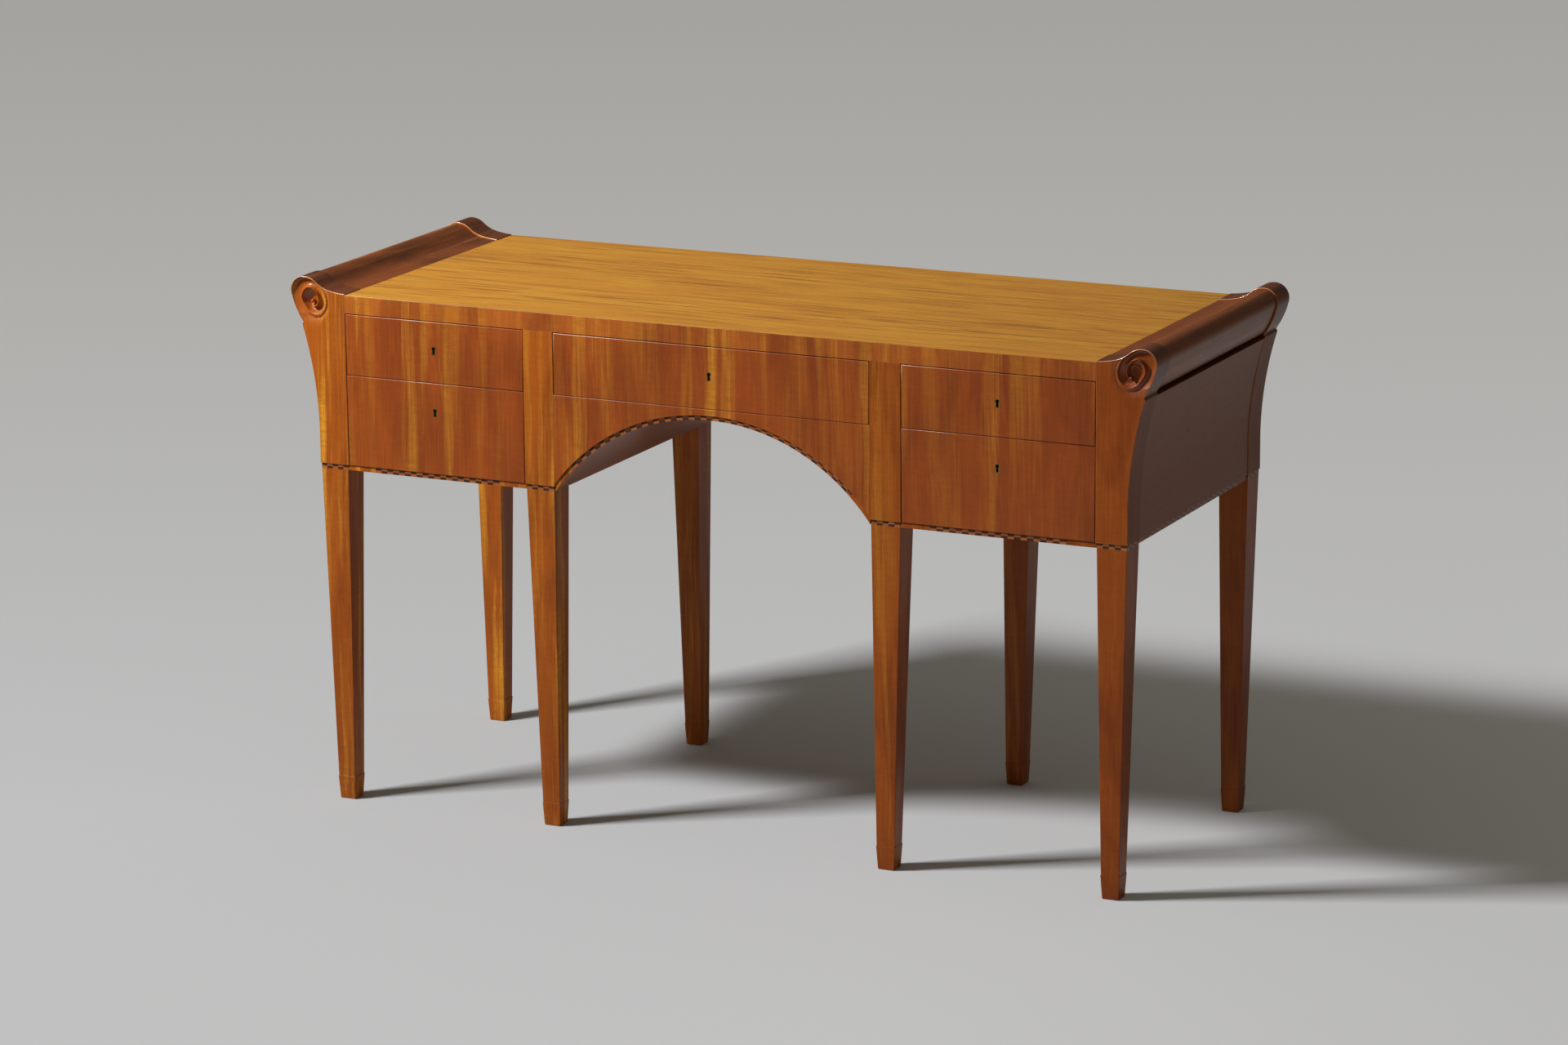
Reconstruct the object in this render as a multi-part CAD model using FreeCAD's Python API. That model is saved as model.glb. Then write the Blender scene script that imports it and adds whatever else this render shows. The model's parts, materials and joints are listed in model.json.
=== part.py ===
import FreeCAD, Part
import math
import os

# Free-standing writing desk with two pedestals of drawers, a centre drawer over an
# arched kneehole, eight tapered legs and scrolled ends.
# +X is the desk's right as seen from its front, +Y its back and +Z up. The origin
# lies on the floor below the middle of the desk. Sizes are in millimetres.
# Most pieces are made on the right and mirrored to the left.

# Case
case_half_width = 640.0
case_half_depth = 257.5
post_size = 48.0
knee_half_width = 250.0
stile_foot_height = 515.0
lower_drawer_height = 136.0
upper_drawer_height = 92.0
frieze_height = 27.0
board_thickness = 20.0
thin_board_thickness = 8.0
divider_thickness = 12.0
divider_drop = 7.0
divider_setback = 0.5
facing_thickness = 4.0
veneer_thickness = 1.0

# Legs and feet
leg_inset = 1.5
foot_line_height = 35.0
foot_line_size = 27.6
foot_block_step = 0.6
foot_size = 24.8
foot_bevel = 1.2
outer_foot_shift = 2.0
inner_foot_shift = 5.0
foot_forward_shift = 3.6

# Outline of the scrolled post heads, as seen from the front: a reach or inset is
# counted from the post's outer face, a rise or drop from the desk top
flare_foot_rise = 45.0
flare_bulge = 6.1
ledge_reach = 24.3
ledge_drop = 48.5
notch_reach = 22.3
notch_drop = 44.8
roll_side_bulge = 1.9
roll_turn_reach = 40.7
roll_turn_drop = 5.6
crest_reach = 19.5
crest_rise = 23.1
crest_outer_bulge = 9.4
crest_inner_bulge = 1.75
hollow_start_reach = 0.5
hollow_start_rise = 16.2
hollow_start_bulge = 1.15
hollow_middle_inset = 18.0
hollow_middle_rise = 5.8
hollow_end_bulge = 0.85
post_head_lift = 1.2

# Long rolls and side panels between the posts
roll_recess = 2.5
panel_recess = 1.2
roll_seat_drop = 50.0
slot_height = 6.5
slot_depth = 22.0

# Carved scroll on the post heads: one ridge that winds in to the eye, given by the turn
# in degrees and the share of the scroll's reach at that turn
carving_depth = 4.0
scroll_centre_reach = 5.0
scroll_centre_drop = 13.0
scroll_reach = 42.2
ridge_half_thickness = 1.1
scroll_start_turn = -75.0
full_turn = 360.0
scroll_ridge_shares = (
    (-55.0, 0.595),
    (-30.0, 0.718),
    (0.0, 0.789),
    (28.0, 0.969),
    (50.0, 1.0),
    (77.0, 0.858),
    (102.0, 0.675),
    (137.0, 0.562),
    (175.0, 0.521),
    (207.0, 0.519),
    (235.0, 0.515),
    (260.0, 0.474),
    (285.0, 0.415),
    (330.0, 0.36),
    (378.0, 0.474),
    (406.0, 0.519),
    (436.0, 0.512),
    (468.0, 0.344),
    (511.0, 0.223),
    (555.0, 0.19),
    (609.0, 0.182),
    (645.0, 0.166),
)

# Arch over the kneehole
arch_rise = 127.3
arch_strip_thickness = 7.0
strip_recess = 2.0
side_rail_width = 18.0

# Checked banding
band_height = 7.5
band_thickness = 1.0
rail_band_margin = 44.0
side_band_margin = 38.0
arch_band_half_angle = 45.0

# Drawers
front_side_gap = 1.0
front_top_gap = 1.2
hair_gap = 0.35
box_side_gap = 1.1
box_foot_gap = 0.4
box_top_gap = 1.5
box_back_gap = 37.5
box_board_thickness = 10.0
box_bottom_thickness = 6.0
box_bottom_rise = 6.0
box_groove_depth = 4.0
box_back_drop = 6.0
lap_depth = 12.0
stop_gap = 0.4
stop_depth = 12.0
stop_width = 20.0
stop_height = 25.0
stop_inset = 25.0
guide_height = 20.0

# Keyholes, locks and bolts
key_pin_drop = 41.0
keyhole_radius = 2.7
keyhole_half_waist = 1.5
keyhole_half_foot = 2.0
keyhole_drop = 8.3
keyhole_foot_bulge = 0.5
escutcheon_rim = 1.4
escutcheon_depth = 4.0
key_pin_radius = 1.2
key_pin_reach = 9.0
lock_half_width = 22.5
lock_depth = 12.0
lock_height = 56.0
lock_top_gap = 0.8
lock_wall = 1.5
lock_plate_half_width = 31.0
bolt_half_width = 9.5
bolt_thickness = 5.0
bolt_setback = 3.5
bolt_length = 30.0
bolt_top_drop = 0.2
bolt_tail_half_width = 16.0
bolt_tail_drop = 9.0
bolt_slot_gap = 0.35
mortise_gap = 0.8
mortise_depth = 8.5
screw_spread = 26.5
screw_end_inset = 8.0
screw_head_radius = 2.8
screw_head_thickness = 1.4
screw_shank_radius = 1.4
screw_shank_length = 12.0
screw_slot_half_width = 0.4
screw_slot_depth = 0.7

# Cutters run on past the wood by this much
overrun = 5.0

# Places that follow from the sizes above
drawer_split_height = stile_foot_height + lower_drawer_height
frieze_foot_height = drawer_split_height + upper_drawer_height
top_height = frieze_foot_height + frieze_height
divider_foot_height = drawer_split_height - divider_drop
roll_seat_height = top_height - roll_seat_drop
pedestal_inner_x = knee_half_width + post_size
pedestal_outer_x = case_half_width - post_size
pedestal_middle_x = (pedestal_inner_x + pedestal_outer_x) / 2
pedestal_half_opening = (pedestal_outer_x - pedestal_inner_x) / 2
post_back_y = case_half_depth - post_size
panel_inner_y = case_half_depth - board_thickness
board_front_y = divider_setback - panel_inner_y
side_panel_x = case_half_width - panel_recess - board_thickness
box_back_y = panel_inner_y - box_back_gap
rail_foot_height = stile_foot_height - band_height
bottom_board_top = stile_foot_height + thin_board_thickness
divider_top = divider_foot_height + divider_thickness
centre_board_foot = drawer_split_height - thin_board_thickness
core_top = top_height - veneer_thickness
arch_radius = (knee_half_width ** 2 + arch_rise ** 2) / (2 * arch_rise)
arch_centre_height = rail_foot_height + arch_rise - arch_radius
arch_back_radius = arch_radius + arch_strip_thickness


def vec(x, y, z):
    return FreeCAD.Vector(x, y, z)


def block(x_range, y_range, z_range):
    """Box between the lower and upper limits given for each direction."""
    corner = vec(x_range[0], y_range[0], z_range[0])
    return Part.makeBox(x_range[1] - x_range[0], y_range[1] - y_range[0], z_range[1] - z_range[0], corner)


def rod(x, z, radius, y_range):
    """Cylinder lying along Y."""
    return Part.makeCylinder(radius, y_range[1] - y_range[0], vec(x, y_range[0], z), vec(0, 1, 0))


def slab(corners, y_range):
    """Upright slab whose outline has the given corners (x, z, bulge).

    The bulge is how far the side that arrives at the corner stands off its chord,
    counted to the left of the way round; 0 gives a straight side.
    """
    edges = []
    for before, corner in zip(corners[-1:] + corners[:-1], corners):
        start = vec(before[0], y_range[0], before[1])
        end = vec(corner[0], y_range[0], corner[1])
        if corner[2]:
            chord = end - start
            sideways = vec(-chord.z, 0, chord.x).normalize() * corner[2]
            edges.append(Part.Arc(start, (start + end) / 2 + sideways, end).toShape())
        else:
            edges.append(Part.makeLine(start, end))
    return Part.Face(Part.Wire(edges)).extrude(vec(0, y_range[1] - y_range[0], 0))


def tapered(low, high):
    """Straight-sided solid between two level rectangles (x_range, y_range, z)."""
    rings = []
    for (x0, x1), (y0, y1), z in (low, high):
        rings.append([vec(x0, y0, z), vec(x1, y0, z), vec(x1, y1, z), vec(x0, y1, z)])
    outlines = [rings[0], rings[1]]
    for i in range(4):
        j = (i + 1) % 4
        outlines.append([rings[0][i], rings[0][j], rings[1][j], rings[1][i]])
    faces = [Part.Face(Part.makePolygon(outline + outline[:1])) for outline in outlines]
    solid = Part.Solid(Part.Shell(faces))
    if solid.Volume < 0:
        solid.reverse()
    return solid


def joined(*solids):
    return solids[0].multiFuse(list(solids[1:])).removeSplitter().Solids[0]


def mirrored(shape):
    return shape.mirror(vec(0, 0, 0), vec(1, 0, 0))


def facing_back(shape):
    return shape.mirror(vec(0, 0, 0), vec(0, 1, 0))


def both_ways(half):
    return (-half, half)


def around(middle, half):
    return (middle - half, middle + half)


nodes = {}


def keep(name, *shapes):
    nodes[name] = shapes[0] if len(shapes) == 1 else Part.makeCompound(list(shapes))


def keep_pair(name, *shapes):
    keep(name + "_right", *shapes)
    keep(name + "_left", *[mirrored(shape) for shape in shapes])


# Posts and legs

def leg_top_size():
    return post_size - 2 * leg_inset


def leg(post_middle_x, shift_x):
    """Leg of a front post on the right side, with its foot block."""
    post_middle_y = post_size / 2 - case_half_depth
    foot_x = post_middle_x - shift_x
    foot_y = post_middle_y - foot_forward_shift

    def level(x, y, size, z):
        return (around(x, size / 2), around(y, size / 2), z)

    block_top_size = foot_line_size + 2 * foot_block_step
    bevelled_size = foot_size - 2 * foot_bevel
    neck = tapered(
        level(post_middle_x, post_middle_y, leg_top_size(), rail_foot_height),
        level(post_middle_x, post_middle_y, leg_top_size(), stile_foot_height),
    )
    shaft = tapered(
        level(foot_x, foot_y, foot_line_size, foot_line_height),
        level(post_middle_x, post_middle_y, leg_top_size(), rail_foot_height),
    )
    foot = tapered(
        level(foot_x, foot_y, foot_size, foot_bevel),
        level(foot_x, foot_y, block_top_size, foot_line_height),
    )
    sole = tapered(
        level(foot_x, foot_y, bevelled_size, 0),
        level(foot_x, foot_y, foot_size, foot_bevel),
    )
    return joined(neck, shaft, foot, sole)


def leg_band(post_middle_x):
    """Ring of banding let into the leg right under the post."""
    post_middle_y = post_size / 2 - case_half_depth
    outer_half = leg_top_size() / 2
    inner_half = outer_half - band_thickness
    height = (rail_foot_height, stile_foot_height)
    outer = block(around(post_middle_x, outer_half), around(post_middle_y, outer_half), height)
    return outer.cut(block(around(post_middle_x, inner_half), around(post_middle_y, inner_half), height))


def head_outline(recess, inner_height):
    """Outer side and top of a scrolled end, from the foot of the stile to the desk top."""
    face_x = case_half_width - recess
    hollow_middle_x = case_half_width - hollow_middle_inset
    return [
        (face_x, stile_foot_height, 0),
        (face_x, stile_foot_height + flare_foot_rise, 0),
        (face_x + ledge_reach, top_height - ledge_drop - recess / 2, flare_bulge),
        (face_x + notch_reach, top_height - notch_drop, 0),
        (face_x + roll_turn_reach, top_height - roll_turn_drop, -roll_side_bulge),
        (case_half_width + crest_reach, top_height + crest_rise - recess, -crest_outer_bulge),
        (case_half_width + hollow_start_reach, top_height + hollow_start_rise - recess, -crest_inner_bulge),
        (hollow_middle_x, top_height + hollow_middle_rise - recess, hollow_start_bulge),
        (pedestal_outer_x, inner_height, hollow_end_bulge),
    ]


def scroll_channel(y_range):
    """Spiral channel that leaves the scroll's ridge standing, from its tip to the eye."""
    front_y, back_y = y_range

    def edge_spot(turn, share, step_out):
        radius = scroll_reach * share + step_out
        angle = math.radians(turn)
        x = case_half_width + scroll_centre_reach + radius * math.cos(angle)
        z = top_height - scroll_centre_drop + radius * math.sin(angle)
        return vec(x, front_y, z)

    def edge_curve(spots):
        curve = Part.BSplineCurve()
        curve.interpolate(spots)
        return curve.toShape()

    ridge_outer_side = [
        edge_spot(turn, share, ridge_half_thickness)
        for turn, share in scroll_ridge_shares
        if turn >= scroll_start_turn + full_turn
    ]
    ridge_inner_side = [edge_spot(turn, share, -ridge_half_thickness) for turn, share in scroll_ridge_shares]
    tip = ridge_outer_side[0]
    edges = [
        edge_curve([tip, *ridge_inner_side]),
        Part.makeLine(ridge_inner_side[-1], ridge_outer_side[-1]),
        edge_curve(ridge_outer_side[::-1]),
    ]
    return Part.Face(Part.Wire(edges)).extrude(vec(0, back_y - front_y, 0))


post_depth_range = (-case_half_depth, -post_back_y)
carving_range = (-case_half_depth - overrun, carving_depth - case_half_depth)
outer_middle_x = case_half_width - post_size / 2
inner_middle_x = knee_half_width + post_size / 2

outer_post_outline = [(pedestal_outer_x, stile_foot_height, 0)]
outer_post_outline += head_outline(0, top_height + post_head_lift)
outer_post = joined(slab(outer_post_outline, post_depth_range), leg(outer_middle_x, outer_foot_shift))
outer_post = outer_post.cut(leg_band(outer_middle_x))
outer_post = outer_post.cut(scroll_channel(carving_range))

inner_stile = block(
    (knee_half_width, pedestal_inner_x),
    post_depth_range,
    (stile_foot_height, frieze_foot_height),
)
inner_post = joined(inner_stile, leg(inner_middle_x, inner_foot_shift)).cut(leg_band(inner_middle_x))


def back_leg_moved(post, post_middle_x, shift_x):
    """A front post turned to the back, with a leg whose foot still moves forward."""
    turned = facing_back(post)
    own_leg_space = block(
        around(post_middle_x, post_size),
        (post_back_y - overrun, case_half_depth + overrun),
        (-overrun, rail_foot_height),
    )
    post_step = 2 * case_half_depth - post_size
    back_leg = leg(post_middle_x, shift_x)
    back_leg.translate(vec(0, post_step, 0))
    back_leg = back_leg.common(own_leg_space)
    return joined(turned.cut(own_leg_space), back_leg)


keep_pair("post_outer_front", outer_post)
keep_pair("post_inner_front", inner_post)
keep_pair("post_outer_back", back_leg_moved(outer_post, outer_middle_x, outer_foot_shift))
keep_pair("post_inner_back", back_leg_moved(inner_post, inner_middle_x, inner_foot_shift))

bands = []
for middle_x in (outer_middle_x, inner_middle_x):
    ring = leg_band(middle_x)
    for turned_ring in (ring, facing_back(ring)):
        bands += [turned_ring, mirrored(turned_ring)]


# Drawer openings: middle, half width, foot and top of the opening, the gap over the
# front, and the heights of the board below and the board above the drawer box

lower_place = (stile_foot_height, drawer_split_height, hair_gap, bottom_board_top, divider_foot_height)
upper_place = (drawer_split_height, frieze_foot_height, front_top_gap, divider_top, frieze_foot_height)
centre_place = (*upper_place[:3], drawer_split_height, frieze_foot_height)
drawers = {
    "left_lower": (-pedestal_middle_x, pedestal_half_opening, *lower_place),
    "left_upper": (-pedestal_middle_x, pedestal_half_opening, *upper_place),
    "centre": (0, knee_half_width, *centre_place),
    "right_upper": (pedestal_middle_x, pedestal_half_opening, *upper_place),
    "right_lower": (pedestal_middle_x, pedestal_half_opening, *lower_place),
}
bolt_front_y = bolt_setback - panel_inner_y
bolt_y_range = (bolt_front_y, bolt_front_y + bolt_thickness)


def bolt_mortise(middle_x, ceiling):
    return block(
        around(middle_x, bolt_half_width + mortise_gap),
        (bolt_y_range[0] - mortise_gap, bolt_y_range[1] + mortise_gap),
        (ceiling - overrun, ceiling + mortise_depth),
    )


# Top

top_core = block(
    both_ways(pedestal_outer_x),
    both_ways(case_half_depth - facing_thickness),
    (frieze_foot_height, core_top),
)
for middle_x in (-pedestal_middle_x, 0, pedestal_middle_x):
    top_core = top_core.cut(bolt_mortise(middle_x, frieze_foot_height))
keep("top_panel", top_core)
keep("top_veneer", block(both_ways(pedestal_outer_x), both_ways(case_half_depth), (core_top, top_height)))
front_frieze = block(
    both_ways(pedestal_outer_x),
    (-case_half_depth, facing_thickness - case_half_depth),
    (frieze_foot_height, core_top),
)
keep("frieze_strips", front_frieze, facing_back(front_frieze))


# Side panels and the long rolls over them

between_posts = both_ways(post_back_y)
panel_outline = [(side_panel_x, stile_foot_height, 0)]
panel_outline += head_outline(panel_recess, top_height)[:2]
panel_outline += [
    (case_half_width - panel_recess + ledge_reach, roll_seat_height, flare_bulge),
    (side_panel_x, roll_seat_height, 0),
]
keep_pair("side_panel", slab(panel_outline, between_posts))

slot_top = roll_seat_height + slot_height
slot_back_x = case_half_width - roll_recess + ledge_reach - slot_depth
roll_outline = [
    (pedestal_outer_x, frieze_foot_height, 0),
    (side_panel_x, frieze_foot_height, 0),
    (side_panel_x, roll_seat_height, 0),
    (slot_back_x, roll_seat_height, 0),
    (slot_back_x, slot_top, 0),
    (case_half_width - roll_recess + notch_reach, slot_top, 0),
]
roll_outline += head_outline(roll_recess, top_height)[4:]
keep_pair("scroll_roll", slab(roll_outline, between_posts))


# Partitions, back panels and the boards the drawers run on

case_height = (stile_foot_height, frieze_foot_height)
partition_inner_x = pedestal_inner_x - board_thickness
keep_pair("partition", block((partition_inner_x, pedestal_inner_x), between_posts, case_height))
keep_pair(
    "back_panel",
    block((pedestal_inner_x, pedestal_outer_x), (panel_inner_y, case_half_depth), case_height),
)


def pedestal_board(z_range):
    """Board across a pedestal, narrowed at both ends to pass between the posts."""
    long_part = block((pedestal_inner_x, pedestal_outer_x), (board_front_y, panel_inner_y), z_range)
    wide_part = block((pedestal_inner_x, side_panel_x), between_posts, z_range)
    return joined(long_part, wide_part)


bottom_board = pedestal_board((stile_foot_height, bottom_board_top))
keep("pedestal_bottoms", bottom_board, mirrored(bottom_board))

divider = pedestal_board((divider_foot_height, divider_top))
divider = divider.cut(bolt_mortise(pedestal_middle_x, divider_foot_height))
centre_long = block(
    both_ways(knee_half_width),
    both_ways(panel_inner_y),
    (centre_board_foot, drawer_split_height),
)
centre_wide = block(
    both_ways(partition_inner_x),
    between_posts,
    (centre_board_foot, drawer_split_height),
)
keep("drawer_dividers", divider, mirrored(divider), joined(centre_long, centre_wide))

guides = []
for floor_height in (bottom_board_top, divider_top):
    side_guide = block(
        (pedestal_outer_x, side_panel_x), between_posts, (floor_height, floor_height + guide_height)
    )
    guides += [side_guide, mirrored(side_guide)]
centre_guide = block(
    (knee_half_width, partition_inner_x),
    between_posts,
    (drawer_split_height, drawer_split_height + guide_height),
)
guides += [centre_guide, mirrored(centre_guide)]
keep("drawer_guides", *guides)


# Aprons, arch strips and the vault between them

def disc(radius, y_range):
    return rod(0, arch_centre_height, radius, y_range)


def arch_band_solid(low_radius, high_radius, y_range):
    """Arched strip over the whole width of the kneehole."""
    ring = disc(high_radius, y_range).cut(disc(low_radius, y_range))
    upper_half = block(both_ways(knee_half_width), y_range, (arch_centre_height, top_height))
    return ring.common(upper_half)


front_board_range = (-case_half_depth, -panel_inner_y)
front_strip_range = (strip_recess - case_half_depth, -panel_inner_y)
apron_face = block(both_ways(knee_half_width), front_board_range, (arch_centre_height, drawer_split_height))
keep("apron_front", apron_face.cut(disc(arch_back_radius, front_board_range)))
back_face = block(both_ways(knee_half_width), front_board_range, (arch_centre_height, frieze_foot_height))
keep("apron_back", facing_back(back_face.cut(disc(arch_back_radius, front_board_range))))
keep(
    "vault_soffit",
    arch_band_solid(arch_radius, arch_radius + thin_board_thickness, both_ways(panel_inner_y)),
)

arch_strip = arch_band_solid(arch_radius, arch_back_radius, front_strip_range)
arch_band_range = (front_strip_range[0], front_strip_range[0] + band_thickness)
half_angle = math.radians(arch_band_half_angle)
wedge_reach = top_height - arch_centre_height
wedge = slab(
    [
        (0, arch_centre_height, 0),
        (wedge_reach * math.tan(half_angle), arch_centre_height + wedge_reach, 0),
        (-wedge_reach * math.tan(half_angle), arch_centre_height + wedge_reach, 0),
    ],
    arch_band_range,
)
arch_band = arch_band_solid(arch_radius, arch_back_radius, arch_band_range).common(wedge)
arch_strip = arch_strip.cut(wedge)
keep("arch_strips", arch_strip, facing_back(arch_strip))
bands += [arch_band, facing_back(arch_band)]


# Rails under the pedestals, with banding let into their faces

rail_height = (rail_foot_height, stile_foot_height)
rail_x_range = (pedestal_inner_x - leg_inset, pedestal_outer_x + leg_inset)
rail_y_range = both_ways(post_back_y + leg_inset)
side_rail_outer_x = side_panel_x + side_rail_width
front_rail = block(rail_x_range, front_strip_range, rail_height)
front_band = block(
    around(pedestal_middle_x, pedestal_half_opening - rail_band_margin), arch_band_range, rail_height
)
side_rail = block((side_panel_x, side_rail_outer_x), rail_y_range, rail_height)
side_band = block(
    (side_rail_outer_x - band_thickness, side_rail_outer_x),
    both_ways(post_back_y - side_band_margin),
    rail_height,
)
front_rail = front_rail.cut(front_band)
side_rail = side_rail.cut(side_band)
knee_rail = block((knee_half_width, pedestal_inner_x), rail_y_range, rail_height)
keep_pair("pedestal_rails", front_rail, facing_back(front_rail), side_rail, knee_rail)
for band in (front_band, facing_back(front_band), side_band):
    bands += [band, mirrored(band)]
keep("bandings", *bands)


# Drawers with their locks

def keyhole(x, pin_height, grow, y_range):
    """Solid in the shape of a keyhole: a round head over a slot that widens downward."""
    slot = slab(
        [
            (x + keyhole_half_waist + grow, pin_height, 0),
            (x - keyhole_half_waist - grow, pin_height, 0),
            (x - keyhole_half_foot - grow, pin_height - keyhole_drop - grow, 0),
            (x + keyhole_half_foot + grow, pin_height - keyhole_drop - grow, -keyhole_foot_bulge),
        ],
        y_range,
    )
    return joined(rod(x, pin_height, keyhole_radius + grow, y_range), slot)


stops = []
for name, (middle_x, half_opening, front_foot, front_top, top_gap, floor, ceiling) in drawers.items():
    half_front = half_opening - front_side_gap
    half_box = half_opening - box_side_gap
    box_foot = floor + box_foot_gap
    box_top = ceiling - box_top_gap
    bottom_foot = box_foot + box_bottom_rise
    bottom_top = bottom_foot + box_bottom_thickness
    pin_height = front_top - key_pin_drop
    lap_y = -panel_inner_y - lap_depth

    # Box: two sides and a back, with the bottom in grooves
    bottom = block(
        around(middle_x, half_box - box_board_thickness + box_groove_depth),
        (-panel_inner_y - box_groove_depth, box_back_y),
        (bottom_foot, bottom_top),
    )
    sides = []
    for direction in (-1, 1):
        side_middle_x = middle_x + direction * (half_box - box_board_thickness / 2)
        side_x_range = around(side_middle_x, box_board_thickness / 2)
        sides.append(block(side_x_range, (lap_y, box_back_y), (box_foot, box_top)).cut(bottom))
    box_back = block(
        around(middle_x, half_box - box_board_thickness),
        (box_back_y - box_board_thickness, box_back_y),
        (bottom_top, box_top - box_back_drop),
    )
    keep("drawer_" + name + "_box", *sides, box_back)
    keep("drawer_" + name + "_bottom", bottom)

    # Lock on the back of the front, its plate held by four screws
    lock_top = ceiling - lock_top_gap
    lock_foot = lock_top - lock_height
    plate_y_range = (-panel_inner_y, lock_wall - panel_inner_y)
    lock_back_y = lock_depth - panel_inner_y
    plate = block(around(middle_x, lock_plate_half_width), plate_y_range, (lock_foot, lock_top))
    case = block(around(middle_x, lock_half_width), (-panel_inner_y, lock_back_y), (lock_foot, lock_top))
    room = block(
        around(middle_x, lock_half_width - lock_wall),
        (plate_y_range[1], lock_back_y - lock_wall),
        (lock_foot + lock_wall, lock_top - lock_wall),
    )
    bolt_slot = block(
        around(middle_x, bolt_half_width + bolt_slot_gap),
        (bolt_y_range[0] - bolt_slot_gap, bolt_y_range[1] + bolt_slot_gap),
        (lock_top - lock_wall - bolt_slot_gap, lock_top + overrun),
    )
    lock = joined(plate, case).cut(room).cut(bolt_slot)
    lock = lock.cut(keyhole(middle_x, pin_height, 0, plate_y_range))
    pin_y_range = (-panel_inner_y - key_pin_reach, lock_back_y - lock_wall)
    pin = rod(middle_x, pin_height, key_pin_radius, pin_y_range)
    lock = joined(lock, pin)

    screws = []
    pilot_holes = []
    for direction in (-1, 1):
        for height in (lock_foot + screw_end_inset, lock_top - screw_end_inset):
            screw_x = middle_x + direction * screw_spread
            shank_range = (-panel_inner_y - screw_shank_length, plate_y_range[1])
            head_range = (plate_y_range[1], plate_y_range[1] + screw_head_thickness)
            shank = rod(screw_x, height, screw_shank_radius, shank_range)
            head = rod(screw_x, height, screw_head_radius, head_range)
            head_slot = block(
                around(screw_x, screw_head_radius),
                (head_range[1] - screw_slot_depth, head_range[1]),
                around(height, screw_slot_half_width),
            )
            screws.append(joined(shank, head).cut(head_slot))
            pilot_holes.append(shank)
            lock = lock.cut(shank)
    keep("drawer_" + name + "_lock", lock, *screws)

    # Bolt: a head that rises out of the lock and a wider tail that keeps it in
    bolt_top = lock_top - bolt_top_drop
    bolt_foot = bolt_top - bolt_length
    bolt_head = block(around(middle_x, bolt_half_width), bolt_y_range, (bolt_foot, bolt_top))
    tail_height = (bolt_foot, bolt_top - bolt_tail_drop)
    bolt_tail = block(around(middle_x, bolt_tail_half_width), bolt_y_range, tail_height)
    keep("drawer_" + name + "_bolt", joined(bolt_head, bolt_tail))

    # Front, with lapped ends, a groove for the bottom and the keyhole
    front = block(
        around(middle_x, half_front), front_board_range, (front_foot + hair_gap, front_top - top_gap)
    )
    for direction in (-1, 1):
        lap_inner_x = middle_x + direction * (half_box - box_board_thickness)
        end_x = sorted((lap_inner_x, middle_x + direction * half_opening))
        front = front.cut(block(end_x, (lap_y, -panel_inner_y), (box_foot, box_top)))
    rim_range = (-case_half_depth, escutcheon_depth - case_half_depth)
    rim = keyhole(middle_x, pin_height, escutcheon_rim, rim_range)
    hole = keyhole(middle_x, pin_height, 0, front_board_range)
    front = front.cut(bottom).cut(rim).cut(hole)
    for pilot in pilot_holes:
        front = front.cut(pilot)
    keep("drawer_" + name + "_front", front)
    keep("drawer_" + name + "_escutcheon", rim.cut(hole))

    # Stops behind the box
    for direction in (-1, 1):
        stops.append(
            block(
                around(middle_x + direction * (half_box - stop_inset), stop_width / 2),
                (box_back_y + stop_gap, box_back_y + stop_gap + stop_depth),
                (floor, floor + stop_height),
            )
        )
keep("drawer_stops", *stops)


os.makedirs("parts", exist_ok=True)
for name, shape in nodes.items():
    shape.exportStep("parts/" + name + ".step")
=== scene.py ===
"""Looks of the writing desk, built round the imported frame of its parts."""

from __future__ import annotations

import json
import logging
import math
import random
from collections.abc import Iterable, Mapping, Sequence
from dataclasses import dataclass, replace
from enum import Enum

import bmesh
import bpy
from mathutils import Matrix, Vector

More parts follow.
